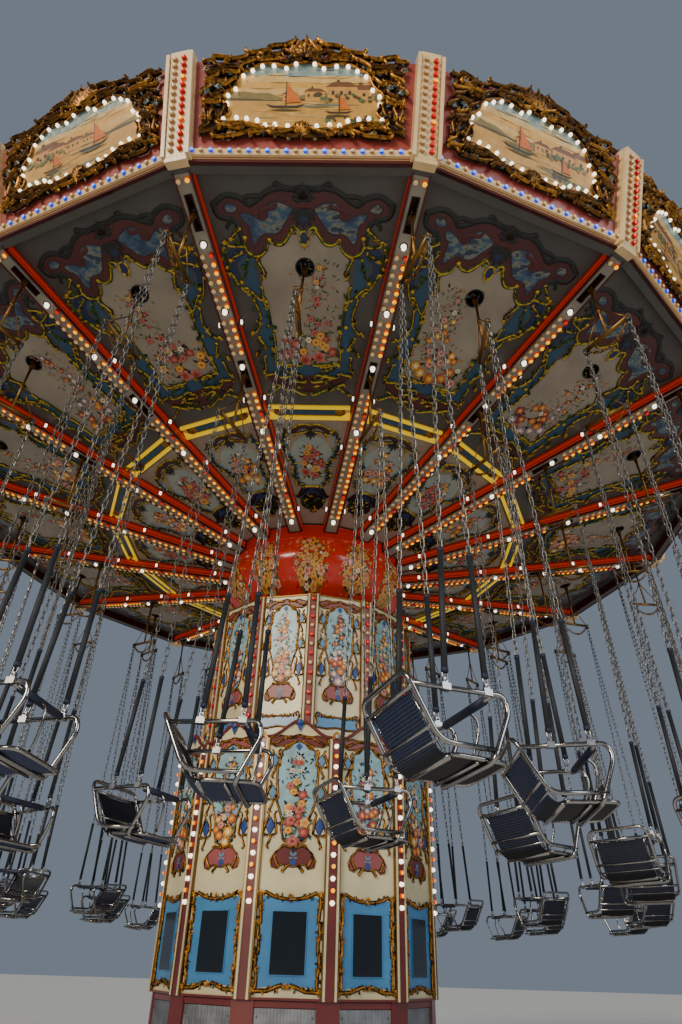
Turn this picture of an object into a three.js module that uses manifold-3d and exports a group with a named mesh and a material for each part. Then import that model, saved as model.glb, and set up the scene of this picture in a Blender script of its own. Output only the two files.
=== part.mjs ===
// A chair swing ride, life size: a telescoping tower, a tilting and turning canopy with sixteen
// sweeps, and forty-eight chairs on chains. Millimetres, +Z up, the origin on the ground at the
// tower's foot. The canopy leans a little and the chairs fly out a little, as when the ride turns
// slowly.

import * as THREE from 'three';
import { mergeVertices } from 'three/addons/utils/BufferGeometryUtils.js';
import Module from 'manifold-3d';

const wasm = await Module();
wasm.setup();

// Driving dimensions

const GAP = 0.3; // between pieces that rest on each other
const degrees = Math.PI / 180;

const SECTORS = 16;
const SECTOR = (360 / SECTORS) * degrees;
const TOWER_SIDES = 12;
const FACET = (360 / TOWER_SIDES) * degrees;

const RIM_RADIUS = 5500; // to the canopy's corners, at the bottom of the boards
const RIM_ABOVE_PIVOT = 720;
const PIVOT_HEIGHT = 6450; // of the tilting pin above the ground
const TILT = 2.5 * degrees;

const SOFFIT_INNER_RADIUS = 1150; // where the light beams meet the drum
const SOFFIT_DROP = 1016; // the beams' undersides fall by this much from the rim to the drum
const BEAM_WIDTH = 180;
const BEAM_DEPTH = 120; // of a light beam, below the soffit
const SOFFIT_THICKNESS = 25;

const ROWS = {
  outer: { radius: 5067, offset: -0.5, swing: 4.2 * degrees },
  middle: { radius: 4421, offset: 0, swing: 3.7 * degrees },
  inner: { radius: 3425, offset: -0.5, swing: 2.9 * degrees },
};
const TRAIL = 1.7 * degrees; // the chairs hang back in the wind
// Chairs that hang turned or still swing: how far each flies out, trails and is twisted.
const RIDDEN = {
  outer_02: { swing: 2, trail: 0.5, twist: 12 },
  middle_01: { swing: 2, trail: 2, twist: -2 },
  middle_02: { swing: 3, trail: 0, twist: -22 },
  inner_01: { swing: -2, trail: 4.5, twist: -14 },
  inner_02: { swing: -0.8, trail: 0, twist: 12 },
};
const PIN_RISE = 45; // of a hanger's pin above the surface that it hangs from
const SEAT_DROP = 4985; // from the rim plane down to every chair's pan when it hangs straight
const SLOT_WIDTH = 60;
const SLOT_LENGTH = 320;
const HANGER_HOLE_RADIUS = 115;

const BOARD_HEIGHT = 1160;
const BOARD_THICKNESS = 40;
const POST_HEIGHT = 1140;
const POST_WIDTH = 250;
const BOARD_LEAN = Math.atan((0.063 * RIM_RADIUS * Math.cos(SECTOR / 2)) / POST_HEIGHT);

const UPPER_RADIUS = 1277; // to the upper housing's corners
const UPPER_BOTTOM = 3000;
const UPPER_PHASE = 2.7 * degrees; // the upper housing stands a little turned on the lower
const UPPER_TOP = 5271;
const LOWER_RADIUS = 1471; // to the lower housing's corners
const LOWER_BOTTOM = 1300;
const LOWER_CORNER_TOP = 3511;
const LOWER_CREST_TOP = 3720;
const SKIRT_BOTTOM = 180;

const materials = {
  cream: new THREE.MeshStandardMaterial({ color: 0xd8cba6, roughness: 0.5, metalness: 0 }),
  darkRed: new THREE.MeshStandardMaterial({ color: 0x5a1a12, roughness: 0.45, metalness: 0 }),
  vermilion: new THREE.MeshStandardMaterial({ color: 0xc8260c, roughness: 0.3, metalness: 0 }),
  terracotta: new THREE.MeshStandardMaterial({ color: 0x7c2a1c, roughness: 0.5, metalness: 0 }),
  soffit: new THREE.MeshStandardMaterial({ color: 0x8c8272, roughness: 0.6, metalness: 0 }),
  steel: new THREE.MeshStandardMaterial({ color: 0x55585c, roughness: 0.4, metalness: 0.8 }),
  chrome: new THREE.MeshStandardMaterial({ color: 0xb8babc, roughness: 0.2, metalness: 1 }),
  roof: new THREE.MeshStandardMaterial({ color: 0x9a2a1c, roughness: 0.6, metalness: 0 }),
};

// Solids

function toSolid(geometry) {
  const bare = geometry.clone();
  bare.deleteAttribute('normal');
  bare.deleteAttribute('uv');
  const merged = mergeVertices(bare, 1e-3);
  const corners = merged.getIndex().array;
  const triangles = [];
  for (let i = 0; i < corners.length; i += 3) {
    const [a, b, c] = corners.subarray(i, i + 3);
    if (a !== b && b !== c && c !== a) triangles.push(a, b, c);
  }
  const vertProperties = new Float32Array(merged.getAttribute('position').array);
  const triVerts = new Uint32Array(triangles);
  return new wasm.Manifold(new wasm.Mesh({ numProp: 3, vertProperties, triVerts }));
}

function join(solids) {
  return solids.reduce((all, next) => all.add(next));
}

function toMesh(name, solid, material) {
  const { vertProperties, triVerts } = solid.getMesh();
  const geometry = new THREE.BufferGeometry();
  geometry.setAttribute('position', new THREE.BufferAttribute(vertProperties, 3));
  geometry.setIndex(new THREE.BufferAttribute(triVerts, 1));
  const mesh = new THREE.Mesh(geometry, material);
  mesh.name = name;
  return mesh;
}

function box(width, depth, height, x, y, z) {
  return toSolid(new THREE.BoxGeometry(width, depth, height).translate(x, y, z));
}

// A ring or a bowl of flat sides. The profile is [radius to a corner, height] points that run
// up the outside and down the inside. Azimuth is measured from -Y towards +X.
function faceted(profile, sides, firstCorner) {
  const points = profile.map(([radius, height]) => new THREE.Vector2(radius, height));
  if (points[0].x > 0) points.push(points[0].clone());
  const lathe = new THREE.LatheGeometry(points, sides, firstCorner, 2 * Math.PI);
  return toSolid(lathe.rotateX(Math.PI / 2));
}

// An outline in the plane of X and Z, thickened along Y on both sides of the plane y.
function plate(outline, thickness, y, ...holes) {
  const shape = new THREE.Shape(outline.map(([x, z]) => new THREE.Vector2(x, z)));
  for (const hole of holes) {
    shape.holes.push(new THREE.Path(hole.map(([x, z]) => new THREE.Vector2(x, z))));
  }
  const geometry = new THREE.ExtrudeGeometry(shape, { depth: thickness, bevelEnabled: false });
  return toSolid(geometry.rotateX(Math.PI / 2).translate(0, y + thickness / 2, 0));
}

// An outline in the plane of -Y and Z, where its first value is a radius, thickened along X.
function radialPlate(outline, thickness) {
  const shape = new THREE.Shape(outline.map(([radius, z]) => new THREE.Vector2(radius, z)));
  const geometry = new THREE.ExtrudeGeometry(shape, { depth: thickness, bevelEnabled: false });
  geometry.rotateX(Math.PI / 2).rotateZ(-Math.PI / 2);
  return toSolid(geometry.translate(thickness / 2, 0, 0));
}

function strut(from, to, radius, sides) {
  const start = new THREE.Vector3(...from);
  const run = new THREE.Vector3(...to).sub(start);
  const geometry = new THREE.CylinderGeometry(radius, radius, run.length(), sides);
  const turn = new THREE.Quaternion().setFromUnitVectors(
    new THREE.Vector3(0, 1, 0),
    run.clone().normalize(),
  );
  geometry.applyQuaternion(turn);
  const middle = start.addScaledVector(run, 0.5);
  return toSolid(geometry.translate(middle.x, middle.y, middle.z));
}

function turned(solid, azimuth) {
  return solid.rotate([0, 0, azimuth / degrees]);
}

function around(count, first, make) {
  const step = (2 * Math.PI) / count;
  return Array.from({ length: count }, (_, i) => turned(make(i), first + i * step));
}

// The surface that the light beams' undersides lie in, and the soffit above it.
function undersideHeight(radius) {
  const fall = SOFFIT_DROP / (RIM_RADIUS - SOFFIT_INNER_RADIUS);
  return RIM_ABOVE_PIVOT - (RIM_RADIUS - radius) * fall;
}

function soffitHeight(radius) {
  return undersideHeight(radius) + BEAM_DEPTH;
}

// Fixed pieces

const MAST_RADIUS = 270;
const GUIDE_HEIGHT = 120;
const SLEEVE_INNER_RADIUS = 300;
const SLEEVE_OUTER_RADIUS = 360;
const SLEEVE_TOP = 2600;
const FLOOR_BOTTOM = 60;
const OUTRIGGERS = 4;
const OUTRIGGER_REACH = 2450;
const OUTRIGGER_WIDTH = 260;
const FOOT_SIZE = 420;
const CENTRE_PAD = 1000;
const PAD_HEIGHT = FLOOR_BOTTOM + 20;

function baseFrame() {
  const floor = faceted(
    [[LOWER_RADIUS, FLOOR_BOTTOM], [LOWER_RADIUS, SKIRT_BOTTOM - GAP],
      [SLEEVE_INNER_RADIUS, SKIRT_BOTTOM - GAP], [SLEEVE_INNER_RADIUS, FLOOR_BOTTOM]],
    TOWER_SIDES,
    FACET / 2,
  );
  const guide = MAST_RADIUS + GAP / Math.cos(FACET / 2); // the mast slides in this collar
  const sleeve = faceted(
    [[SLEEVE_OUTER_RADIUS, FLOOR_BOTTOM], [SLEEVE_OUTER_RADIUS, SLEEVE_TOP],
      [guide, SLEEVE_TOP], [guide, SLEEVE_TOP - GUIDE_HEIGHT],
      [SLEEVE_INNER_RADIUS, SLEEVE_TOP - GUIDE_HEIGHT], [SLEEVE_INNER_RADIUS, FLOOR_BOTTOM]],
    TOWER_SIDES,
    FACET / 2,
  );
  const armInner = LOWER_RADIUS - 200;
  const armHeight = SKIRT_BOTTOM - GAP - FLOOR_BOTTOM;
  const arms = around(OUTRIGGERS, 45 * degrees, () => box(
    OUTRIGGER_WIDTH, OUTRIGGER_REACH - armInner, armHeight,
    0, -(OUTRIGGER_REACH + armInner) / 2, FLOOR_BOTTOM + armHeight / 2,
  ));
  const feet = around(OUTRIGGERS, 45 * degrees, () => box(
    FOOT_SIZE, FOOT_SIZE, PAD_HEIGHT,
    0, -OUTRIGGER_REACH + FOOT_SIZE / 2, PAD_HEIGHT / 2,
  ));
  const centrePad = box(CENTRE_PAD, CENTRE_PAD, PAD_HEIGHT, 0, 0, PAD_HEIGHT / 2);
  return join([floor, sleeve, centrePad, ...arms, ...feet]);
}

const WALL = 50;
const SKIRT_RADIUS = 1440;
const SKIRT_POST_WIDTH = 210;

function plinthSkirt() {
  const wall = faceted(
    [[SKIRT_RADIUS, SKIRT_BOTTOM], [SKIRT_RADIUS, LOWER_BOTTOM - GAP],
      [SKIRT_RADIUS - WALL, LOWER_BOTTOM - GAP], [SKIRT_RADIUS - WALL, SKIRT_BOTTOM]],
    TOWER_SIDES,
    FACET / 2,
  );
  const height = LOWER_BOTTOM - GAP - SKIRT_BOTTOM;
  const posts = around(TOWER_SIDES, FACET / 2, () => box(
    SKIRT_POST_WIDTH, 60, height,
    0, -SKIRT_RADIUS + 25, SKIRT_BOTTOM + height / 2,
  ));
  return join([wall, ...posts]);
}

const PILASTER_WIDTH = 130;
const PILASTER_DEPTH = 50;

// The lower housing's facets rise to a crest in the middle and dip beside their corners.
function lowerHousing() {
  const halfWidth = LOWER_RADIUS * Math.sin(FACET / 2);
  const apothem = LOWER_RADIUS * Math.cos(FACET / 2);
  const dip = LOWER_CORNER_TOP + 40;
  const shoulder = LOWER_CREST_TOP - 50;
  const facet = () => plate(
    [[-halfWidth, LOWER_BOTTOM], [halfWidth, LOWER_BOTTOM], [halfWidth, dip],
      [halfWidth * 0.7, dip], [halfWidth * 0.3, shoulder], [0, LOWER_CREST_TOP],
      [-halfWidth * 0.3, shoulder], [-halfWidth * 0.7, dip], [-halfWidth, dip]],
    WALL,
    -apothem + WALL / 2,
  );
  const height = LOWER_CORNER_TOP - LOWER_BOTTOM;
  const pilaster = () => box(
    PILASTER_WIDTH, PILASTER_DEPTH, height,
    0, -LOWER_RADIUS + PILASTER_DEPTH / 2, LOWER_BOTTOM + height / 2,
  );
  return join([...around(TOWER_SIDES, 0, facet), ...around(TOWER_SIDES, FACET / 2, pilaster)]);
}

// The telescoping pieces

const MAST_BOTTOM = 1700;
const MAST_HEAD_TOP = PIVOT_HEIGHT - 160;
const FORK_INNER = 180;
const FORK_THICKNESS = 90;
const FORK_TOP = PIVOT_HEIGHT + 70;
const PIN_RADIUS = 50;
const PIN_SIDES = 24;
const BRACKET_HEIGHTS = [4200, 5000];

function mast() {
  const tube = faceted(
    [[0, MAST_BOTTOM], [MAST_RADIUS, MAST_BOTTOM], [MAST_RADIUS, MAST_HEAD_TOP],
      [0, MAST_HEAD_TOP]],
    TOWER_SIDES,
    FACET / 2,
  );
  const forkBottom = MAST_HEAD_TOP - 200;
  const ear = (side) => box(
    FORK_THICKNESS, 240, FORK_TOP - forkBottom,
    side * (FORK_INNER + FORK_THICKNESS / 2), 0, (FORK_TOP + forkBottom) / 2,
  );
  const reach = (UPPER_RADIUS - WALL) * Math.cos(FACET / 2) - GAP;
  const brackets = BRACKET_HEIGHTS.flatMap((z) => around(4, UPPER_PHASE + 45 * degrees, () => box(
    90, reach - MAST_RADIUS / 2, 90,
    0, -(reach + MAST_RADIUS / 2) / 2, z,
  )));
  const solid = join([tube, ear(1), ear(-1), ...brackets]);
  const boreRadius = (PIN_RADIUS + 0.4) / Math.cos(Math.PI / PIN_SIDES); // clear of the pin's corners
  return solid.subtract(strut(
    [-MAST_RADIUS * 2, 0, PIVOT_HEIGHT], [MAST_RADIUS * 2, 0, PIVOT_HEIGHT],
    boreRadius, PIN_SIDES,
  ));
}

function upperHousing() {
  const wall = faceted(
    [[UPPER_RADIUS, UPPER_BOTTOM], [UPPER_RADIUS, UPPER_TOP],
      [UPPER_RADIUS - WALL, UPPER_TOP], [UPPER_RADIUS - WALL, UPPER_BOTTOM]],
    TOWER_SIDES,
    UPPER_PHASE,
  );
  const height = UPPER_TOP - UPPER_BOTTOM;
  const pilasters = around(TOWER_SIDES, UPPER_PHASE, () => box(
    110, 40, height,
    0, -UPPER_RADIUS + 20, UPPER_BOTTOM + height / 2,
  ));
  return join([wall, ...pilasters]);
}

// The tilting piece: a turntable on a pin. Heights from here on are from the tilting pin.

const TURNTABLE_RADIUS = 480;
const TURNTABLE_BOTTOM = 110;
const TURNTABLE_TOP = 220;

function tiltHead() {
  const pinLength = 2 * (FORK_INNER + FORK_THICKNESS) + 20;
  const pin = strut([-pinLength / 2, 0, 0], [pinLength / 2, 0, 0], PIN_RADIUS, PIN_SIDES);
  const block = box(2 * FORK_INNER - 10, 160, 220, 0, 0, 30);
  const table = faceted(
    [[0, TURNTABLE_BOTTOM], [TURNTABLE_RADIUS, TURNTABLE_BOTTOM],
      [TURNTABLE_RADIUS, TURNTABLE_TOP], [0, TURNTABLE_TOP]],
    SECTORS,
    SECTOR / 2,
  );
  return join([pin, block, table]);
}

// The turning pieces

const HUB_RADIUS = 760;
const HUB_TOP = 640;
const ROOF_EDGE_HEIGHT = RIM_ABOVE_PIVOT + 820;
const ROOF_THICKNESS = 40;
const CROWN_BASE = ROOF_EDGE_HEIGHT + 620;

const DRUM_SIDES = 32;
const DRUM_TOP_RADIUS = SOFFIT_INNER_RADIUS - 5;
const DRUM_TOP = soffitHeight(DRUM_TOP_RADIUS - 35) - GAP;
const DRUM_BOTTOM = -1120;
const DRUM_WALL = 35;

// A bowl that is open below and carries the light beams' inner ends on its upright band.
function drum() {
  const outside = [[820, DRUM_BOTTOM], [960, -1020], [1085, -900], [1178, -750], [1207, -600],
    [1190, -440], [DRUM_TOP_RADIUS, -370], [DRUM_TOP_RADIUS, DRUM_TOP]];
  const [foot, flare, , belly, , , band, rim] = outside;
  const inside = [rim, band, belly, flare, foot].map(
    ([radius, height]) => [radius - DRUM_WALL, height],
  );
  return faceted([...outside, ...inside], DRUM_SIDES, 0);
}

const POST_LEAN = Math.atan(Math.tan(BOARD_LEAN) / Math.cos(SECTOR / 2));
const POST_THICKNESS = 70;
const POST_SET_BACK = 10;

// How far out a sweep can reach at a height above the pin before it meets two boards.
function sweepReach(height) {
  const boardFoot = RIM_RADIUS * Math.cos(SECTOR / 2) - BOARD_THICKNESS / Math.cos(BOARD_LEAN);
  const board = boardFoot + (height - RIM_ABOVE_PIVOT) * Math.tan(BOARD_LEAN);
  return (board - (BEAM_WIDTH / 2) * Math.sin(SECTOR / 2) - GAP) / Math.cos(SECTOR / 2);
}

const SWEEP_BOTTOM = 240; // the sweeps run level from the hub until the soffit rises to them
const HANGER_BRIDGE_DEPTH = 110;

// The hub and the sixteen sweeps above the soffit, with a bridge between neighbouring sweeps
// that carries the middle hangers on two cheeks.
function sweepFrame() {
  const hub = faceted(
    [[0, TURNTABLE_TOP + GAP], [HUB_RADIUS, TURNTABLE_TOP + GAP], [HUB_RADIUS, HUB_TOP],
      [0, HUB_TOP]],
    SECTORS,
    SECTOR / 2,
  );
  const above = SOFFIT_THICKNESS + 4 + GAP; // the panels rise a little beside each sweep
  const fall = SOFFIT_DROP / (RIM_RADIUS - SOFFIT_INNER_RADIUS);
  const kneeRadius = SOFFIT_INNER_RADIUS
    + (SWEEP_BOTTOM - soffitHeight(SOFFIT_INNER_RADIUS) - above) / fall;
  const top = ROOF_EDGE_HEIGHT - GAP;
  const low = soffitHeight(RIM_RADIUS - 70) + above;
  const sweep = () => radialPlate(
    [[HUB_RADIUS - 60, SWEEP_BOTTOM], [kneeRadius, SWEEP_BOTTOM], [RIM_RADIUS - 70, low],
      [sweepReach(low), low], [sweepReach(top), top], [sweepReach(top) - 90, top],
      [sweepReach(low) - 110, low + 130], [HUB_RADIUS - 60, HUB_TOP - 40]],
    BEAM_WIDTH - 10,
  );
  const crownFloor = CROWN_BASE - ROOF_THICKNESS - GAP;
  const kingPost = box(240, 240, crownFloor - HUB_TOP + 20, 0, 0, (crownFloor + HUB_TOP - 20) / 2);
  const { radius } = ROWS.middle;
  const bottom = soffitHeight(radius / Math.cos(SECTOR / 2)) + above + 60;
  const span = 2 * radius * Math.tan(SECTOR / 2);
  const pinHeight = pivotHeight('middle');
  const bridge = () => join([
    box(span, 110, HANGER_BRIDGE_DEPTH, 0, -radius, bottom + HANGER_BRIDGE_DEPTH / 2),
    ...[-1, 1].map((side) => {
      const low = pinHeight - 25;
      return box(
        14, 70, bottom + 10 - low,
        side * (SLOT_WIDTH / 2 + 7), -radius, (bottom + 10 + low) / 2,
      );
    }),
  ]);
  return join([
    hub,
    kingPost,
    ...around(SECTORS, SECTOR / 2, sweep),
    ...around(SECTORS, 0, bridge),
  ]);
}

function pivotHeight(row) {
  const { radius } = ROWS[row];
  if (row === 'middle') return soffitHeight(radius / Math.cos(SECTOR / 2)) + PIN_RISE;
  return undersideHeight(radius) + PIN_RISE;
}

function hangerSlot(row, depth) {
  const { radius } = ROWS[row];
  const low = undersideHeight(radius) - 80;
  return box(
    SLOT_WIDTH, SLOT_LENGTH, depth + 80,
    0, -radius, low + (depth + 80) / 2,
  );
}

// The painted soffit: one shallow funnel of sixteen flat panels, holed for every hanger.
function soffitPanels() {
  const outer = RIM_RADIUS - 60;
  const inner = DRUM_TOP_RADIUS - 35;
  const funnel = faceted(
    [[outer, soffitHeight(outer)], [outer, soffitHeight(outer) + SOFFIT_THICKNESS],
      [inner, soffitHeight(inner) + SOFFIT_THICKNESS], [inner, soffitHeight(inner)]],
    SECTORS,
    SECTOR / 2,
  );
  const { radius } = ROWS.middle;
  const z = soffitHeight(radius);
  const holes = around(SECTORS, 0, () => strut(
    [0, -radius, z - 150], [0, -radius, z + 150], HANGER_HOLE_RADIUS, 8,
  ));
  return funnel.subtract(join(holes));
}

// The boxed light beams under the soffit, joined by the lip along the rim.
function lightBeams() {
  const inner = DRUM_TOP_RADIUS + GAP;
  const outer = RIM_RADIUS - 80;
  const beam = () => radialPlate(
    [[inner, undersideHeight(inner)], [outer, undersideHeight(outer)],
      [outer, soffitHeight(outer) - GAP], [inner, soffitHeight(inner) - GAP]],
    BEAM_WIDTH,
  );
  const upstand = RIM_RADIUS - 55;
  const lipBottom = RIM_ABOVE_PIVOT - 25;
  const lip = faceted(
    [[RIM_RADIUS, lipBottom], [RIM_RADIUS, RIM_ABOVE_PIVOT], [upstand, RIM_ABOVE_PIVOT],
      [upstand, soffitHeight(upstand - 45) - GAP], [upstand - 45, soffitHeight(upstand - 45) - GAP],
      [upstand - 45, lipBottom]],
    SECTORS,
    SECTOR / 2,
  );
  const pockets = ['outer', 'inner'].flatMap((row) => around(
    SECTORS, SECTOR / 2, () => hangerSlot(row, BEAM_DEPTH - 10),
  ));
  return join([...around(SECTORS, SECTOR / 2, beam), lip]).subtract(join(pockets));
}

// The leaning boards round the rim with their carved crests, and the posts at the corners.
function roundingBoards() {
  const bottom = RIM_ABOVE_PIVOT + GAP;
  const apothem = RIM_RADIUS * Math.cos(SECTOR / 2);
  const halfBottom = RIM_RADIUS * Math.sin(SECTOR / 2);
  const halfTop = halfBottom + BOARD_HEIGHT * Math.tan(BOARD_LEAN) * Math.tan(SECTOR / 2);
  const crest = [[760, 0], [570, 85], [300, 120], [150, 230], [0, 300]];
  const crestRight = crest.map(([x, rise]) => [x, BOARD_HEIGHT + rise]);
  const crestLeft = crest.slice(0, -1).reverse().map(([x, rise]) => [-x, BOARD_HEIGHT + rise]);
  const lean = (solid) => solid.rotate([BOARD_LEAN / degrees, 0, 0]);
  const board = () => lean(plate(
    [[-halfBottom, 0], [halfBottom, 0], [halfTop, BOARD_HEIGHT], ...crestRight, ...crestLeft,
      [-halfTop, BOARD_HEIGHT]],
    BOARD_THICKNESS,
    BOARD_THICKNESS / 2,
  )).translate([0, -apothem, bottom]);
  const post = () => box(POST_WIDTH, POST_THICKNESS, POST_HEIGHT + 40, 0, 0, POST_HEIGHT / 2 - 20)
    .rotate([POST_LEAN / degrees, 0, 0])
    .translate([0, -RIM_RADIUS + POST_SET_BACK, RIM_ABOVE_PIVOT]);
  const floor = box(16000, 16000, 400, 0, 0, bottom - 200);
  const ring = join([...around(SECTORS, 0, board), ...around(SECTORS, SECTOR / 2, post)]);
  return ring.subtract(floor);
}

// The roof over the sweeps, with the little crown at its top.
function roof() {
  const rise = (ROOF_EDGE_HEIGHT - RIM_ABOVE_PIVOT) * Math.tan(BOARD_LEAN);
  const apothem = RIM_RADIUS * Math.cos(SECTOR / 2) + rise - 1.2 * BOARD_THICKNESS;
  const edge = apothem / Math.cos(SECTOR / 2);
  return faceted(
    [[edge, ROOF_EDGE_HEIGHT], [760, CROWN_BASE], [760, CROWN_BASE + 420], [850, CROWN_BASE + 520],
      [560, CROWN_BASE + 640], [180, CROWN_BASE + 760], [110, CROWN_BASE + 900],
      [170, CROWN_BASE + 1010], [110, CROWN_BASE + 1120], [0, CROWN_BASE + 1150],
      [0, CROWN_BASE - ROOF_THICKNESS], [760, CROWN_BASE - ROOF_THICKNESS],
      [edge - 160, ROOF_EDGE_HEIGHT]],
    SECTORS,
    SECTOR / 2,
  );
}

// One chair with its hanger, from the pin down. Forward is +X and outward is -Y. Each side is
// one flat piece: the tubes beside the seat, and the two chains that meet at the spreader.

const BARREL = 40; // of the hanger, on its pin
const HANGER_ROD = 30;
const SPREADER_DROP = 750;
const SPREADER_HALF = 263;
const SPREADER_SIZE = 46;
const CHAIN_WIDTH = 28;
const SEAT_HALF_WIDTH = 243;
const TUBE = 28;
const HALF_TUBE = TUBE / 2;
const BACK_TOP = [-340, 310]; // the tubes' middle lines, forward of the pin and above the side rail
const BACK_FOOT = [-170, 0];
const ARM_REAR = [-304, 249];
const ARM_FRONT = [205, 277];
const FRONT_FOOT = [129, 0]; // the arm's front end slants back down to the rail
const PAN_FRONT = 225;
const SHELL_THICKNESS = 22; // of the woven pan and back
const REAR_CHAIN = -126;
const FRONT_CHAIN = 105;

function alongTube(from, to, height, shift) {
  const run = (to[0] - from[0]) / (to[1] - from[1]);
  return [from[0] + run * (height - from[1]) + shift * Math.hypot(1, run), height];
}

function armHeight(x) {
  const slope = (ARM_FRONT[1] - ARM_REAR[1]) / (ARM_FRONT[0] - ARM_REAR[0]);
  return ARM_REAR[1] + slope * (x - ARM_REAR[0]);
}

function chairSide(pan, side) {
  const half = CHAIN_WIDTH / 2;
  const back = (height, shift) => alongTube(BACK_FOOT, BACK_TOP, height, shift);
  const front = (height, shift) => alongTube(FRONT_FOOT, ARM_FRONT, height, shift);
  const onArm = (x, shift) => [x, armHeight(x) + shift];
  const up = (points) => points.map(([x, z]) => [x, pan + z]);
  const fork = (SPREADER_DROP + pan) * (CHAIN_WIDTH / (FRONT_CHAIN - REAR_CHAIN));
  const outline = [
    [-half, -SPREADER_DROP + half],
    ...up([onArm(REAR_CHAIN - half, HALF_TUBE), back(ARM_REAR[1] + HALF_TUBE, HALF_TUBE)]),
    ...up([back(BACK_TOP[1], HALF_TUBE), back(BACK_TOP[1], -HALF_TUBE)]),
    ...up([back(-HALF_TUBE, -HALF_TUBE), front(-HALF_TUBE, HALF_TUBE)]),
    ...up([front(ARM_FRONT[1] + HALF_TUBE, HALF_TUBE), onArm(FRONT_CHAIN + half, HALF_TUBE)]),
    [half, -SPREADER_DROP + half],
  ];
  const between = [
    [0, -SPREADER_DROP + fork],
    ...up([onArm(REAR_CHAIN + half, HALF_TUBE), onArm(FRONT_CHAIN - half, HALF_TUBE)]),
  ];
  const inside = up([
    back(ARM_REAR[1] - HALF_TUBE, HALF_TUBE), back(HALF_TUBE, HALF_TUBE),
    front(HALF_TUBE, -HALF_TUBE), front(ARM_FRONT[1] - HALF_TUBE, -HALF_TUBE),
  ]);
  return plate(outline, TUBE, side * SEAT_HALF_WIDTH, between, inside);
}

function chair(drop) {
  const pan = -drop;
  const bar = SPREADER_HALF;
  const rod = HANGER_ROD / 2;
  const top = -SPREADER_DROP + SPREADER_SIZE / 2;
  const bottom = top - SPREADER_SIZE;
  const hanger = radialPlate(
    [[-rod, 0], [-rod, top], [-bar, top], [-bar, bottom], [bar, bottom], [bar, top], [rod, top],
      [rod, 0]],
    HANGER_ROD,
  );
  const lapHeight = pan + armHeight(FRONT_CHAIN);
  const lapBar = box(TUBE, 2 * SEAT_HALF_WIDTH, TUBE, FRONT_CHAIN, 0, lapHeight);
  const half = SHELL_THICKNESS / 2;
  const back = (height, shift) => alongTube(BACK_FOOT, BACK_TOP, height, shift);
  const shellTop = BACK_TOP[1] - half;
  const shell = plate(
    [back(shellTop, -half), back(-half, -half), [PAN_FRONT, -half], [PAN_FRONT, half],
      back(half, half), back(shellTop, half)].map(([x, z]) => [x, pan + z]),
    2 * SEAT_HALF_WIDTH,
    0,
  );
  return join([hanger, chairSide(pan, -1), chairSide(pan, 1), lapBar, shell]);
}

// The canopy leans but the chairs hang by their weight, so each hangs by its place on the ring.
function hangingPose(row, number, azimuth) {
  const name = `${row}_${number}`;
  if (name in RIDDEN) {
    const { swing, trail, twist } = RIDDEN[name];
    return { swing: swing * degrees, trail: trail * degrees, twist };
  }
  return {
    swing: ROWS[row].swing - TILT * Math.cos(azimuth),
    trail: TRAIL - TILT * Math.sin(azimuth),
    twist: 0,
  };
}

// The assembly

const ride = new THREE.Group();
ride.add(
  toMesh('base_frame', baseFrame(), materials.steel),
  toMesh('plinth_skirt', plinthSkirt(), materials.darkRed),
  toMesh('lower_housing', lowerHousing(), materials.cream),
  toMesh('mast', mast(), materials.steel),
  toMesh('upper_housing', upperHousing(), materials.cream),
);

const canopy = new THREE.Group();
canopy.position.z = PIVOT_HEIGHT;
canopy.rotation.x = -TILT;
canopy.add(
  toMesh('tilt_head', tiltHead(), materials.steel),
  toMesh('drum', drum(), materials.vermilion),
  toMesh('sweep_frame', sweepFrame(), materials.steel),
  toMesh('soffit_panels', soffitPanels(), materials.soffit),
  toMesh('light_beams', lightBeams(), materials.vermilion),
  toMesh('rounding_boards', roundingBoards(), materials.terracotta),
  toMesh('roof', roof(), materials.roof),
);
ride.add(canopy);

for (const [row, { radius, offset }] of Object.entries(ROWS)) {
  const height = pivotHeight(row);
  const straight = chair(SEAT_DROP - RIM_ABOVE_PIVOT + height);
  const barrel = box(SLOT_WIDTH - 2 * GAP, BARREL, BARREL, 0, 0, 0);
  for (let i = 0; i < SECTORS; i += 1) {
    const number = String(i + 1).padStart(2, '0');
    const azimuth = (i + offset) * SECTOR;
    const { swing, trail, twist } = hangingPose(row, number, azimuth);
    const solid = straight.rotate([0, 0, twist]).rotate([0, trail / degrees, 0]).add(barrel);
    const sector = new THREE.Group();
    sector.rotation.z = azimuth;
    const seat = toMesh(`seat_${row}_${number}`, solid, materials.chrome);
    seat.position.set(0, -radius, height);
    seat.rotation.x = -swing;
    sector.add(seat);
    canopy.add(sector);
  }
}

export default ride;
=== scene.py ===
"""The looks of the chair swing ride: painted and carved boards, soffit panels, lights, chairs.

Metres. The canopy's pieces are made in the canopy's own frame, whose origin is the tilting pin
and whose panel 0 faces -Y, and are copied round by sectors.
"""

import math
import random

import bpy
import numpy as np
from mathutils import Matrix, Vector, geometry


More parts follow.
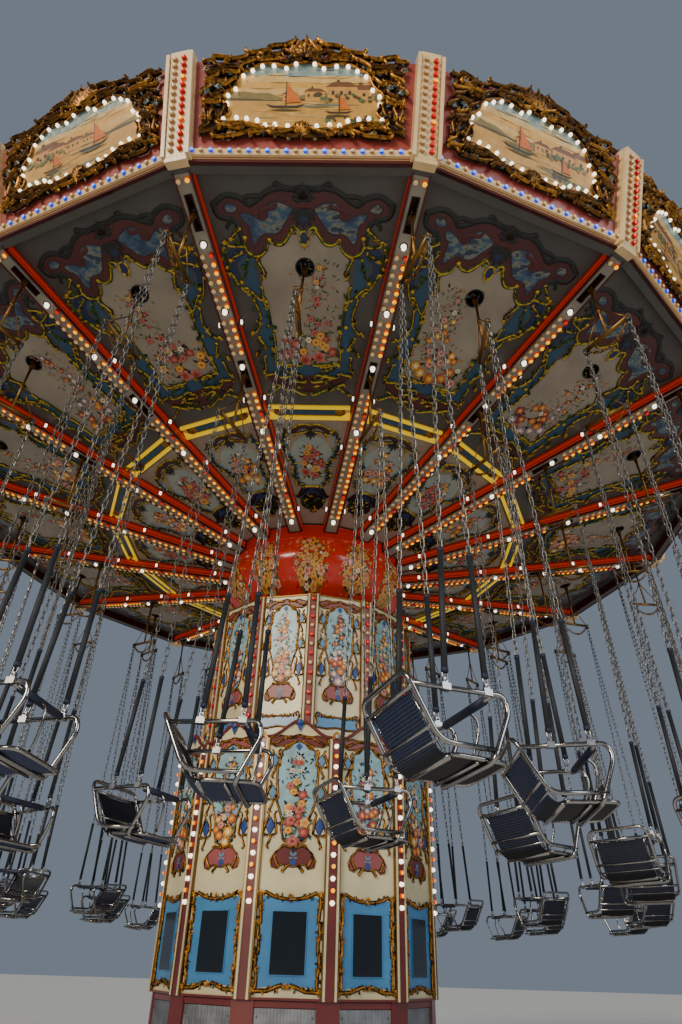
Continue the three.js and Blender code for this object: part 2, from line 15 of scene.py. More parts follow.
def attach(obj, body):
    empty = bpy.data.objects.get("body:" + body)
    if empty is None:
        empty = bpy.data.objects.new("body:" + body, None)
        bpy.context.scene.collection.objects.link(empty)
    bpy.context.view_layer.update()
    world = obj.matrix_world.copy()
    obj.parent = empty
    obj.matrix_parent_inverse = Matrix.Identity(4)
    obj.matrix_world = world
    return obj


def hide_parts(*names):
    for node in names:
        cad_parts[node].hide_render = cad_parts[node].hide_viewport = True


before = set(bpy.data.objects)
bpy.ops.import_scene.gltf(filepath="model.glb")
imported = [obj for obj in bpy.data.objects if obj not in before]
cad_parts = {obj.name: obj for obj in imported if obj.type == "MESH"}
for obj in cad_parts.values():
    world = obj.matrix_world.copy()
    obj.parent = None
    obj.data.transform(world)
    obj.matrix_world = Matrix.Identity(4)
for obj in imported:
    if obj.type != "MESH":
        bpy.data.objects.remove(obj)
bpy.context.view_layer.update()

# Driving dimensions, the same as the part's

SECTORS = 16
SECTOR = 2 * math.pi / SECTORS
TOWER_SIDES = 12
FACET = 2 * math.pi / TOWER_SIDES
RIM_RADIUS = 5.5
RIM_ABOVE_PIVOT = 0.72
PIVOT_HEIGHT = 6.45
TILT = math.radians(2.5)
SOFFIT_INNER_RADIUS = 1.15
SOFFIT_DROP = 1.016
BEAM_WIDTH = 0.18
BEAM_DEPTH = 0.12
ROWS = {
    "outer": (5.067, -0.5, math.radians(4.2)),
    "middle": (4.421, 0.0, math.radians(3.7)),
    "inner": (3.425, -0.5, math.radians(2.9)),
}
TRAIL = math.radians(1.7)
RIDDEN = {
    "outer_02": (2, 0.5, 12),
    "middle_01": (2, 2, -2),
    "middle_02": (3, 0, -22),
    "inner_01": (-2, 4.5, -14),
    "inner_02": (-0.8, 0, 12),
}
PIN_RISE = 0.045
SEAT_DROP = 4.985
POST_HEIGHT = 1.14
LEAN = math.atan(0.063 * RIM_RADIUS * math.cos(SECTOR / 2) / POST_HEIGHT)
POST_LEAN = math.atan(math.tan(LEAN) / math.cos(SECTOR / 2))
UPPER_RADIUS = 1.277
UPPER_TOP = 5.271
UPPER_PHASE = math.radians(2.7)
LOWER_RADIUS = 1.471
LOWER_BOTTOM = 1.3
SKIRT_RADIUS = 1.44

APOTHEM = RIM_RADIUS * math.cos(SECTOR / 2)
CANOPY = Matrix.Translation((0, 0, PIVOT_HEIGHT)) @ Matrix.Rotation(-TILT, 4, "X")
FALL = SOFFIT_DROP / (RIM_RADIUS - SOFFIT_INNER_RADIUS)


def underside(radius):
    return RIM_ABOVE_PIVOT - (RIM_RADIUS - radius) * FALL


def about_z(angle):
    return Matrix.Rotation(angle, 4, "Z")


def ring(count, first=0.0, base=Matrix.Identity(4)):
    return [base @ about_z(first + i * 2 * math.pi / count) for i in range(count)]


# Materials


def linear(code):
    channels = [int(code[i : i + 2], 16) / 255 for i in (0, 2, 4)]
    return [c / 12.92 if c < 0.04045 else ((c + 0.055) / 1.055) ** 2.4 for c in channels]


class Shader:
    """A node material with a Principled shader, in object space."""

    def __init__(self, name):
        self.material = bpy.data.materials.new(name)
        self.material.use_nodes = True
        self.nodes = self.material.node_tree.nodes
        self.links = self.material.node_tree.links
        self.surface = self.nodes["Principled BSDF"]
        self.place = self.nodes.new("ShaderNodeTexCoord").outputs["Object"]

    def set(self, **sockets):
        for name, value in sockets.items():
            self.surface.inputs[name.replace("_", " ")].default_value = value

    def noise(self, scale, detail=4, stretch=None):
        node = self.nodes.new("ShaderNodeTexNoise")
        node.inputs["Scale"].default_value = scale
        node.inputs["Detail"].default_value = detail
        self.links.new(self.stretched(stretch), node.inputs["Vector"])
        return node.outputs["Fac"]

    def stretched(self, stretch):
        if stretch is None:
            return self.place
        node = self.nodes.new("ShaderNodeMapping")
        node.inputs["Scale"].default_value = stretch
        self.links.new(self.place, node.inputs["Vector"])
        return node.outputs["Vector"]

    def ramp(self, factor, stops):
        node = self.nodes.new("ShaderNodeValToRGB")
        while len(node.color_ramp.elements) < len(stops):
            node.color_ramp.elements.new(0.5)
        for element, (position, color) in zip(node.color_ramp.elements, stops):
            element.position = position
            element.color = (*color, 1)
        self.links.new(factor, node.inputs["Fac"])
        return node.outputs["Color"]

    def rough(self, factor, low, high):
        node = self.nodes.new("ShaderNodeMapRange")
        node.inputs["To Min"].default_value = low
        node.inputs["To Max"].default_value = high
        self.links.new(factor, node.inputs["Value"])
        self.links.new(node.outputs["Result"], self.surface.inputs["Roughness"])

    def color(self, output):
        self.links.new(output, self.surface.inputs["Base Color"])

    def bump(self, height, strength, distance):
        node = self.nodes.new("ShaderNodeBump")
        node.inputs["Strength"].default_value = strength
        node.inputs["Distance"].default_value = distance
        self.links.new(height, node.inputs["Height"])
        self.links.new(node.outputs["Normal"], self.surface.inputs["Normal"])


def shades(code, *factors):
    return [[min(1, c * f) for c in linear(code)] for f in factors]


def paint(name, code, low=0.32, high=0.55, coat=0.0, blotch=3.0, spread=0.16):
    shader = Shader(name)
    dark, plain, light = shades(code, 1 - spread, 1.0, 1 + spread)
    stains = shader.noise(blotch, 6)
    shader.color(shader.ramp(stains, [(0.3, dark), (0.5, plain), (0.72, light)]))
    grain = shader.noise(90, 3)
    shader.rough(grain, low, high)
    shader.bump(grain, 0.12, 0.001)
    shader.set(Coat_Weight=coat, Coat_Roughness=0.12)
    return shader.material


def gilt(name, bright, shade, rough=0.34):
    """Gold paint, dark and bright in random patches."""
    shader = Shader(name)
    tone = shader.noise(26, 5)
    dark, light = linear(shade), linear(bright)
    shader.color(shader.ramp(tone, [(0.34, dark), (0.52, light), (0.75, light)]))
    shader.rough(tone, rough + 0.16, rough)
    shader.bump(shader.noise(120, 3), 0.35, 0.002)
    shader.set(Metallic=0.75)
    return shader.material


def marbled(name, base, vein, light):
    shader = Shader(name)
    clouds = shader.noise(7, 9, (1, 1.6, 1))
    stops = [(0.36, linear(base)), (0.5, linear(light)), (0.56, linear(vein)), (0.62, linear(base))]
    shader.color(shader.ramp(clouds, stops))
    shader.rough(clouds, 0.35, 0.6)
    return shader.material


# A glowing material, for bulbs and tubes, and for paints that glow as painted light.
def lamp(name, code, strength, glass=0.08):
    shader = Shader(name)
    color = (*linear(code), 1)
    glow = shader.noise(200, 1)
    shader.rough(glow, glass, glass + 0.1)
    dull = (*shades(code, 0.6)[0], 1)
    shader.set(Base_Color=dull, Emission_Color=color, Emission_Strength=strength, Coat_Weight=0.2)
    return shader.material


def metal(name, code, low, high, scratches=(1, 1, 1)):
    shader = Shader(name)
    grain = shader.noise(40, 5, scratches)
    dark, light = shades(code, 0.82, 1.08)
    shader.color(shader.ramp(grain, [(0.35, dark), (0.65, light)]))
    shader.rough(grain, low, high)
    shader.bump(grain, 0.08, 0.001)
    shader.set(Metallic=1.0)
    return shader.material


def woven(name, code):
    """Ribbed plastic weave: fine threads across the ribs."""
    shader = Shader(name)
    threads = shader.noise(260, 2, (1, 1, 0.2))
    dark, light = shades(code, 0.55, 1.7)
    shader.color(shader.ramp(threads, [(0.35, dark), (0.7, light)]))
    shader.rough(threads, 0.5, 0.75)
    shader.bump(threads, 0.5, 0.002)
    return shader.material


def tread_plate(name, code):
    shader = Shader(name)
    voronoi = shader.nodes.new("ShaderNodeTexVoronoi")
    voronoi.inputs["Scale"].default_value = 34
    voronoi.inputs["Randomness"].default_value = 0.15
    shader.links.new(shader.stretched((1, 1, 0.45)), voronoi.inputs["Vector"])
    scuffs = shader.noise(5, 7)
    dark, light = shades(code, 0.7, 1.15)
    shader.color(shader.ramp(scuffs, [(0.35, dark), (0.65, light)]))
    shader.rough(scuffs, 0.35, 0.6)
    shader.bump(voronoi.outputs["Distance"], 0.8, 0.004)
    shader.set(Metallic=0.8)
    return shader.material


PLAIN_PAINTS = {
    "beam cream": "877d6c", "deep red": "4a0f0d", "band red": "4c1614", "rose red": "8c4644",
    "pink": "b76f68", "peach": "cf8c5c", "plum": "3a1a18", "pale pink": "cfa28c", "coral": "b24e2c",
    "orange": "cc7c20", "yellow": "ddb04a", "white": "e9dcc0", "mauve": "86708f", "crimson": "8e2428",
    "leaf": "4c6238", "dark leaf": "0d140c", "mid blue": "25485f", "slate blue": "5d7f98",
    "night blue": "16264e", "royal blue": "1e3f80", "brown line": "5b3e1c", "black": "16120f",
    "verdigris": "4d5c58",
}
# The paints of the landscapes are blotched more finely.
LANDSCAPE_PAINTS = {
    "cloud": "cfa860", "haze": "d09a42", "dusk sky": "7f9490", "far hill": "7c6a34",
    "near hill": "473a16", "water": "bf8e3e", "deep water": "66746c", "wall": "c48c42",
    "tiles": "6e4220", "sail": "c8640f", "hull": "33291f",
}
# Glossier and duller paints: colour, lowest and highest roughness, and coat
OTHER_PAINTS = {
    "board red": ("9c4034", 0.32, 0.55, 0.2), "cream": ("e6c48c", 0.32, 0.55, 0.3),
    "sky blue": ("3d7cad", 0.32, 0.55, 0.3), "tower cream": ("cfc39a", 0.32, 0.55, 0.25),
    "tower red": ("651c1a", 0.32, 0.55, 0.3), "mirror": ("12181e", 0.08, 0.14, 0.25),
    # The soffit's grey is darkened to stand for the shade under the canopy: painted shade.
    "soffit": ("4b4740", 0.4, 0.65), "field": ("938673", 0.4, 0.65),
    "sleeve": ("14181e", 0.5, 0.75), "padding": ("161d33", 0.5, 0.7),
    "roof red": ("8c2a1e", 0.6, 0.85), "roof cream": ("d9cba6", 0.6, 0.85),
}
# Colour, strength of the glow and, where it isn't a bulb, lowest roughness. Vermilion and drum red are
# paints, not lamps: their glow is painted light.
LAMPS_AND_GLOWING_PAINTS = {
    "vermilion": ("e02c02", 0.26, 0.22), "drum red": ("d82200", 0.14, 0.16),
    "clear bulb": ("c4935a", 0.08), "clear core": ("f0c88c", 0.25), "white bulb": ("fff0d8", 2.6),
    "red bulb": ("c40600", 0.14), "red core": ("ff2400", 0.4), "orange bulb": ("f05400", 0.38),
    "orange core": ("ffb000", 1.3), "blue bulb": ("0a3cf0", 0.6), "blue core": ("4a90ff", 1.5),
    "tube": ("ffd000", 0.5),
}
# The bronze also serves as painted shade, laid dark under the boards' carving.
GOLDS = {
    "gold": ("a87228", "1c0f05"), "green gold": ("4e5a2c", "10170d"), "old gold": ("6e4818", "140a04"),
    "yellow gold": ("c8a634", "2e2608"), "bronze": ("33200d", "0c0703", 0.45),
}
METALS = {
    "brass": ("8a6536", 0.3, 0.5), "chrome": ("8f8c88", 0.1, 0.22, (1, 1, 0.1)),
    "snap": ("a3a4a5", 0.25, 0.45), "chain": ("8d8a84", 0.3, 0.5), "steel": ("6a6d70", 0.4, 0.6),
}

TINTS = {name: paint(name, code) for name, code in PLAIN_PAINTS.items()}
TINTS.update({name: paint(name, code, blotch=14) for name, code in LANDSCAPE_PAINTS.items()})
for make, table in ((paint, OTHER_PAINTS), (lamp, LAMPS_AND_GLOWING_PAINTS), (gilt, GOLDS), (metal, METALS)):
    TINTS.update({name: make(name, *settings) for name, settings in table.items()})
TINTS["pale blue"] = paint("pale blue", "86a9b0", coat=0.2, blotch=9, spread=0.24)
TINTS["mist"] = paint("mist", "949c92", blotch=9, spread=0.1)
TINTS["marbled blue"] = marbled("marbled blue", "223248", "7b7a62", "3c566e")
TINTS["weave"] = woven("weave", "1a2747")
# The darker weave is painted shade between the seat's ribs.
TINTS["weave dark"] = woven("weave dark", "06080f")
TINTS["plate"] = tread_plate("plate", "8a8d90")

# Meshes


class Parts:
    """Points and faces, with a tint for each face."""

    def __init__(self):
        self.points = []
        self.faces = []
        self.tints = []

    def add(self, points, faces, tint):
        base = len(self.points)
        self.points.extend(points)
        self.faces.extend([tuple(base + i for i in face) for face in faces])
        self.tints.extend([tint] * len(faces))

    def take(self, other, matrix):
        turn = np.array(matrix)
        points = np.array([tuple(p) for p in other.points])
        moved = points @ turn[:3, :3].T + turn[:3, 3]
        base = len(self.points)
        self.points.extend(map(tuple, moved))
        self.faces.extend([tuple(base + i for i in face) for face in other.faces])
        self.tints.extend(other.tints)


def as_mesh(name, parts):
    mesh = bpy.data.meshes.new(name)
    mesh.from_pydata([tuple(p) for p in parts.points], [], parts.faces)
    order = sorted(set(parts.tints))
    for tint in order:
        mesh.materials.append(TINTS[tint])
    numbers = [order.index(tint) for tint in parts.tints]
    mesh.polygons.foreach_set("material_index", numbers)
    mesh.polygons.foreach_set("use_smooth", [True] * len(numbers))
    mesh.update()
    return mesh


def show(name, parts, body, matrices=None, nodes=()):
    """Makes one object, with a copy of the parts for each matrix, and lets it ride on a body."""
    whole = parts
    if matrices is not None:
        whole = Parts()
        for matrix in matrices:
            whole.take(parts, matrix)
    piece = bpy.data.objects.new(name, as_mesh(name, whole))
    bpy.context.scene.collection.objects.link(piece)
    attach(piece, body)
    if nodes:
        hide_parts(*nodes)
    return piece


def box(parts, low, high, tint):
    (x0, y0, z0), (x1, y1, z1) = low, high
    corners = [(x, y, z) for x in (x0, x1) for y in (y0, y1) for z in (z0, z1)]
    for face in ((0, 1, 3, 2), (4, 6, 7, 5), (0, 4, 5, 1), (2, 3, 7, 6), (0, 2, 6, 4), (1, 5, 7, 3)):
        parts.add([corners[i] for i in face], [(0, 1, 2, 3)], tint)


def tube(parts, path, radius, tint, sides=6, closed=False):
    """A round bar along a path of points."""
    path = [Vector(p) for p in path]
    count = len(path)
    rings = []
    normal = None
    for i, point in enumerate(path):
        before = path[i - 1] if closed or i else point
        after = path[(i + 1) % count] if closed or i < count - 1 else point
        ahead = (after - before).normalized()
        if normal is None:
            normal = ahead.orthogonal().normalized()
        normal = (normal - ahead * normal.dot(ahead)).normalized()
        across = ahead.cross(normal)
        for k in range(sides):
            angle = 2 * math.pi * k / sides
            rings.append(point + (normal * math.cos(angle) + across * math.sin(angle)) * radius)
    faces = []
    for i in range(count if closed else count - 1):
        j = (i + 1) % count
        for k in range(sides):
            m = (k + 1) % sides
            faces.append((i * sides + k, i * sides + m, j * sides + m, j * sides + k))
    if not closed:
        faces.append(tuple(reversed(range(sides))))
        faces.append(tuple(range((count - 1) * sides, count * sides)))
    parts.add(rings, faces, tint)


def rounded(corners, radius, steps=4, closed=True):
    """A path with its corners rounded."""
    path = []
    corners = [Vector(c) for c in corners]
    for i, corner in enumerate(corners):
        if not closed and i in (0, len(corners) - 1):
            path.append(corner)
            continue
        start = corner + (corners[i - 1] - corner).normalized() * radius
        end = corner + (corners[(i + 1) % len(corners)] - corner).normalized() * radius
        for k in range(steps + 1):
            t = k / steps
            path.append(start * (1 - t) ** 2 + corner * 2 * t * (1 - t) + end * t**2)
    return path


def lathe(parts, profile, tint, sides=96):
    points = []
    for radius, height in profile:
        for k in range(sides):
            angle = 2 * math.pi * k / sides
            points.append((radius * math.sin(angle), -radius * math.cos(angle), height))
    faces = []
    for i in range(len(profile) - 1):
        for k in range(sides):
            m = (k + 1) % sides
            faces.append((i * sides + k, i * sides + m, (i + 1) * sides + m, (i + 1) * sides + k))
    parts.add(points, faces, tint)


# Painted and carved ornament, drawn on a surface that turns (across, up, out) into a point


def curve(points, steps=5, closed=False):
    """A smooth path through the points."""
    count = len(points)
    result = []
    for i in range(count if closed else count - 1):
        if closed:
            a, b, c, d = (points[(i + k) % count] for k in (-1, 0, 1, 2))
        else:
            a, b, c, d = (points[min(max(i + k, 0), count - 1)] for k in (-1, 0, 1, 2))
        for k in range(steps):
            t = k / steps
            result.append(tuple(
                0.5 * (2 * q + (r - p) * t + (2 * p - 5 * q + 4 * r - s) * t**2
                       + (3 * q - p - 3 * r + s) * t**3)
                for p, q, r, s in zip(a, b, c, d)
            ))
    if not closed:
        result.append(points[-1])
    return result


def both_sides(half, steps=4):
    """A closed outline from its right half, which runs from the top to the bottom."""
    right = curve(half, steps)
    return right + [(-u, v) for u, v in reversed(right) if abs(u) > 1e-6]


def oval(height, half_width, half_height, count):
    """A closed oval on the middle line."""
    turns = [2 * math.pi * k / count for k in range(count)]
    return [(half_width * math.cos(a), height + half_height * math.sin(a)) for a in turns]


def scroll_path(start, end, curl_start, curl_end, bow):
    """A scroll whose body runs from start to end, with its ends curled by so many radians."""
    steps = 9
    heading = 0.0
    z = 0j
    path = [z]
    weights = [max(0.0, 1 - (i + 0.5) / steps / 0.42) ** 1.2 for i in range(steps)]
    total = sum(weights)
    for i in range(steps):
        share = (i + 0.5) / steps
        turn = curl_start * weights[i] + curl_end * weights[-1 - i]
        heading += turn / total + bow / steps
        stride = 0.22 + math.sin(math.pi * share)
        z += stride * complex(math.cos(heading), math.sin(heading))
        path.append(z)
    first, last = path[steps // 4], path[steps - steps // 4]
    scale = (complex(*end) - complex(*start)) / (last - first)
    return [((p - first) * scale + complex(*start)) for p in path]


class Art:
    """Ornament on one surface. Outlines and paths are points across and up, in metres."""

    def __init__(self, surface):
        self.surface = surface
        self.parts = Parts()

    def put(self, points, faces, tint):
        self.parts.add([self.surface(*p) for p in points], faces, tint)

    def fill(self, outline, tint, out, holes=()):
        loops = [[Vector((u, v, 0)) for u, v in loop] for loop in (outline, *holes)]
        flat = [p for loop in loops for p in loop]
        faces = []
        for a, b, c in geometry.tessellate_polygon(loops):
            turn = (flat[b] - flat[a]).cross(flat[c] - flat[a]).z
            faces.append((a, b, c) if turn > 0 else (a, c, b))
        self.put([(p.x, p.y, out) for p in flat], faces, tint)

    def strip(self, u0, v0, u1, v1, tint, out):
        self.put([(u0, v0, out), (u1, v0, out), (u1, v1, out), (u0, v1, out)], [(0, 1, 2, 3)], tint)

    def slab(self, u0, v0, u1, v1, tint, low, high):
        """A raised board with its four edges."""
        self.strip(u0, v0, u1, v1, tint, high)
        ends = [(u0, v0), (u1, v0), (u1, v1), (u0, v1)]
        for i, (u, v) in enumerate(ends):
            p, q = ends[(i + 1) % 4]
            self.put([(u, v, low), (p, q, low), (p, q, high), (u, v, high)], [(0, 1, 2, 3)], tint)

    def ribbon(self, path, width, tint, out, rise, taper=True):
        """A raised ribbon, ridged along its middle and thinner at its ends."""
        if isinstance(path[0], complex):
            path = [(p.real, p.imag) for p in path]
        count = len(path)
        points = []
        for i, (u, v) in enumerate(path):
            before, after = path[max(i - 1, 0)], path[min(i + 1, count - 1)]
            du, dv = after[0] - before[0], after[1] - before[1]
            length = math.hypot(du, dv) or 1
            share = i / (count - 1)
            half = width / 2 * (0.3 + 0.7 * math.sin(math.pi * share) ** 0.7 if taper else 1)
            nu, nv = -dv / length * half, du / length * half
            points += [(u + nu, v + nv, out), (u, v, out + rise), (u - nu, v - nv, out)]
        faces = []
        for i in range(count - 1):
            a, b = 3 * i, 3 * i + 3
            faces += [(a, a + 1, b + 1, b), (a + 1, a + 2, b + 2, b + 1)]
        self.put(points, faces, tint)

    def ribbons(self, path, *settings):
        """The same ribbon on both sides of the middle."""
        for sign in (1, -1):
            self.ribbon([(sign * u, v) for u, v in path], *settings)

    def disc(self, at, radius, tint, out, rise=0.0, sides=8, lobes=0, turn=0.0):
        u, v = at
        points = [(u, v, out + rise)]
        for k in range(sides):
            angle = 2 * math.pi * k / sides + turn
            r = radius * (1 + 0.16 * math.cos(lobes * (angle - turn))) if lobes else radius
            points.append((u + r * math.cos(angle), v + r * math.sin(angle), out))
        self.put(points, [(0, k + 1, (k + 1) % sides + 1) for k in range(sides)], tint)

    def bulb(self, at, radius, tint, out, sides=6):
        """A round bulb: a drum that narrows a little, and a domed top that glows more."""
        u, v = at
        points = []
        for reach, rise in ((1.0, 0.0), (0.84, 1.0)):
            for k in range(sides):
                angle = 2 * math.pi * k / sides
                r = radius * reach
                points.append((u + r * math.cos(angle), v + r * math.sin(angle), out + radius * rise))
        points.append((u, v, out + radius * 1.5))
        pairs = [(k, (k + 1) % sides) for k in range(sides)]
        self.put(points, [(a, b, sides + b, sides + a) for a, b in pairs], tint)
        core = tint.replace("bulb", "core")
        self.put(points[sides:], [(a, b, sides) for a, b in pairs], core if core in TINTS else tint)

    def leaf(self, at, angle, length, width, tint, out, rise=0.0):
        c, s = math.cos(angle), math.sin(angle)
        u, v = at

        def along(a, b, lift):
            return (u + a * c - b * s, v + a * s + b * c, out + lift)

        points = [along(0, 0, 0), along(length * 0.45, width / 2, 0), along(length, 0, 0)]
        points += [along(length * 0.45, -width / 2, 0), along(length * 0.5, 0, rise)]
        self.put(points, [(0, 4, 1), (1, 4, 2), (2, 4, 3), (3, 4, 0)], tint)

    def leaves(self, at, angle, *settings):
        """The same leaf on both sides of the middle."""
        self.leaf(at, angle, *settings)
        self.leaf((-at[0], at[1]), math.pi - angle, *settings)

    def spray(self, at, angle, size, tint, out, rise=0.01, count=5, spread=0.5):
        for k in range(count):
            swing = (k - (count - 1) / 2) * spread
            length = size * (1 - 0.35 * abs(swing) / (spread * count / 2))
            self.leaf(at, angle + swing, length, size * 0.3, tint, out + 0.001 * k, rise)

    def scroll(self, start, end, curls, width, tint, out, rise=0.02, bow=0.0, shade=None):
        path = scroll_path(start, end, *curls, bow)
        if shade:
            self.ribbon(path[::2] + path[-1:], width * 2.1, shade, out - 0.004, 0.003 + rise * 0.4)
            out += rise * 0.35
        self.ribbon(path, width, tint, out, rise)
        for p in (path[0], path[-1]):
            self.disc((p.real, p.imag), width * 0.5, tint, out + rise * 0.3, rise, 5)

    def scrolls(self, start, end, curls, width, tint, out, rise=0.02, bow=0.0, shade=None):
        """The same scroll on both sides of the middle."""
        self.scroll(start, end, curls, width, tint, out, rise, bow, shade)
        (a, b), (c, d), (e, f) = start, end, curls
        self.scroll((-a, b), (-c, d), (-e, -f), width, tint, out, rise, -bow, shade)

    def framed(self, outline, tint, out, width, edge_out):
        """A filled outline, with a thin gilt line on a wider dark one round it."""
        self.fill(outline, tint, out)
        loop = outline + outline[:1]
        self.ribbon(loop[::3] + loop[-1:], width * 2.2, "bronze", edge_out, 0.002, False)
        self.ribbon(loop, width, "gold", edge_out + 0.003, 0.008, False)

    def mirrored(self, outline, tint, out):
        for sign in (1, -1):
            self.fill([(sign * u, v) for u, v in outline], tint, out)

    def knobs(self, places, radius, tint, out, rise=0.012):
        for u, v in places:
            for sign in (1, -1):
                self.disc((sign * u, v), radius, tint, out, rise, 6)

    def rose(self, at, radius, tints, out, turn=0.0):
        outer, middle, inner = tints
        self.disc(at, radius, outer, out, 0.002, 10, 5, turn)
        self.disc(at, radius * 0.7, middle, out + 0.002, 0.002, 10, 5, turn + 0.6)
        self.disc(at, radius * 0.38, inner, out + 0.004, 0.002, 6, 3, turn)

    def daisy(self, at, radius, petal, eye, out):
        for k in range(6):
            self.leaf(at, k * math.pi / 3, radius, radius * 0.7, petal, out)
        self.disc(at, radius * 0.3, eye, out + 0.002, 0.001, 6)

    def bouquet(self, dice, centre, half_width, half_height, count, size, palettes, out, daisies=4):
        """Roses, leaves and a daisy now and then, larger and closer together towards the foot."""
        u0, v0 = centre
        spots = []
        for _ in range(count * 30):
            height = dice.uniform(-1, 1)
            reach = math.sqrt(max(0.0, 1 - height**2)) * (1 - 0.35 * height)
            u, v = dice.uniform(-reach, reach), height
            radius = size * (1.15 - 0.4 * (height + 1) / 2) * dice.uniform(0.75, 1.15)
            spot = (u0 + u * half_width, v0 + v * half_height)
            if all(math.dist(spot, other) > 0.8 * (radius + r) for other, r in spots):
                spots.append((spot, radius))
            if len(spots) == count:
                break
        for (u, v), radius in spots:
            for _ in range(3):
                angle = dice.uniform(0, 2 * math.pi)
                tint = dice.choice(("leaf", "leaf", "dark leaf", "dark leaf"))
                self.leaf((u, v), angle, radius * 2.0, radius * 0.7, tint, out)
        for i, ((u, v), radius) in enumerate(spots):
            if i % daisies == daisies - 1:
                self.daisy((u, v), radius * 0.9, "white", "orange", out + 0.004)
            else:
                palette = palettes[i % len(palettes)]
                self.rose((u, v), radius, palette, out + 0.004, dice.uniform(0, 6))
        for _ in range(count * 2):
            angle = dice.uniform(0, 2 * math.pi)
            reach = dice.uniform(0.75, 1.12)
            spot = (u0 + half_width * reach * math.cos(angle), v0 + half_height * reach * math.sin(angle))
            tint = dice.choice(("leaf", "dark leaf", "coral", "orange"))
            self.leaf(spot, angle, size * 0.7, size * 0.35, tint, out)


WARM = (("coral", "orange", "yellow"), ("pink", "pale pink", "coral"), ("orange", "yellow", "white"))
SUNNY = (("yellow", "orange", "coral"), ("orange", "yellow", "coral"), ("peach", "yellow", "orange"),
         ("pale pink", "peach", "coral"), ("yellow", "peach", "orange"))
ROSES = (("pink", "coral", "crimson"), ("coral", "pink", "crimson"), ("orange", "yellow", "coral"),
         ("crimson", "coral", "pink"), ("yellow", "peach", "orange"))
MIXED = (("coral", "orange", "yellow"), ("crimson", "coral", "yellow"), ("mauve", "pale pink", "white"))


def board_surface(lean, distance):
    """The outside of a board that leans out: up is along the slope from the canopy's rim."""
    sine, cosine = math.sin(lean), math.cos(lean)

    def surface(across, up, out):
        return (
            across,
            -distance - up * sine - out * cosine,
            RIM_ABOVE_PIVOT + up * cosine - out * sine,
        )

    return surface


def soffit_surface(across, up, out):
    """A soffit panel from below: up is the distance from the tower's axis."""
    height = underside(up / math.cos(SECTOR / 2)) + BEAM_DEPTH
    return (across, -up, height - out)


def beam_surface(across, up, out):
    return (across, -up, underside(up) - out)


def facet_surface(distance):
    def surface(across, up, out):
        return (across, -distance - out, up)

    return surface


# The rounding boards

BOARD_OUTLINE = [
    (0, 1.36), (0.05, 1.34), (0.1, 1.27), (0.17, 1.2), (0.3, 1.2), (0.44, 1.175), (0.54, 1.165),
    (0.6, 1.1), (0.7, 1.09), (0.84, 1.1), (0.84, 0.98), (0.8, 0.9), (0.86, 0.8), (0.86, 0.7),
    (0.82, 0.6), (0.8, 0.46), (0.84, 0.32), (0.72, 0.28), (0.5, 0.26), (0.24, 0.25), (0, 0.25),
]
BOARD_OPENING = [
    (0, 1.13), (0.09, 1.13), (0.17, 1.08), (0.28, 1.11), (0.4, 1.105), (0.49, 1.05), (0.58, 0.98),
    (0.61, 0.88), (0.65, 0.81), (0.71, 0.75), (0.72, 0.65), (0.67, 0.58), (0.66, 0.51), (0.73, 0.43),
    (0.6, 0.42), (0.5, 0.41), (0.39, 0.385), (0.33, 0.345), (0.22, 0.35), (0.1, 0.34), (0.06, 0.4),
    (0, 0.42),
]
BOARD_BULBS = [
    (0.085, 1.1), (0.17, 1.045), (0.285, 1.075), (0.39, 1.07), (0.475, 1.015), (0.555, 0.95),
    (0.615, 0.79), (0.678, 0.715), (0.68, 0.62), (0.7, 0.44), (0.585, 0.46), (0.495, 0.45),
    (0.4, 0.43), (0.327, 0.378), (0.24, 0.385), (0.128, 0.37),
]
BOARD_BULB_RADIUS = 0.021
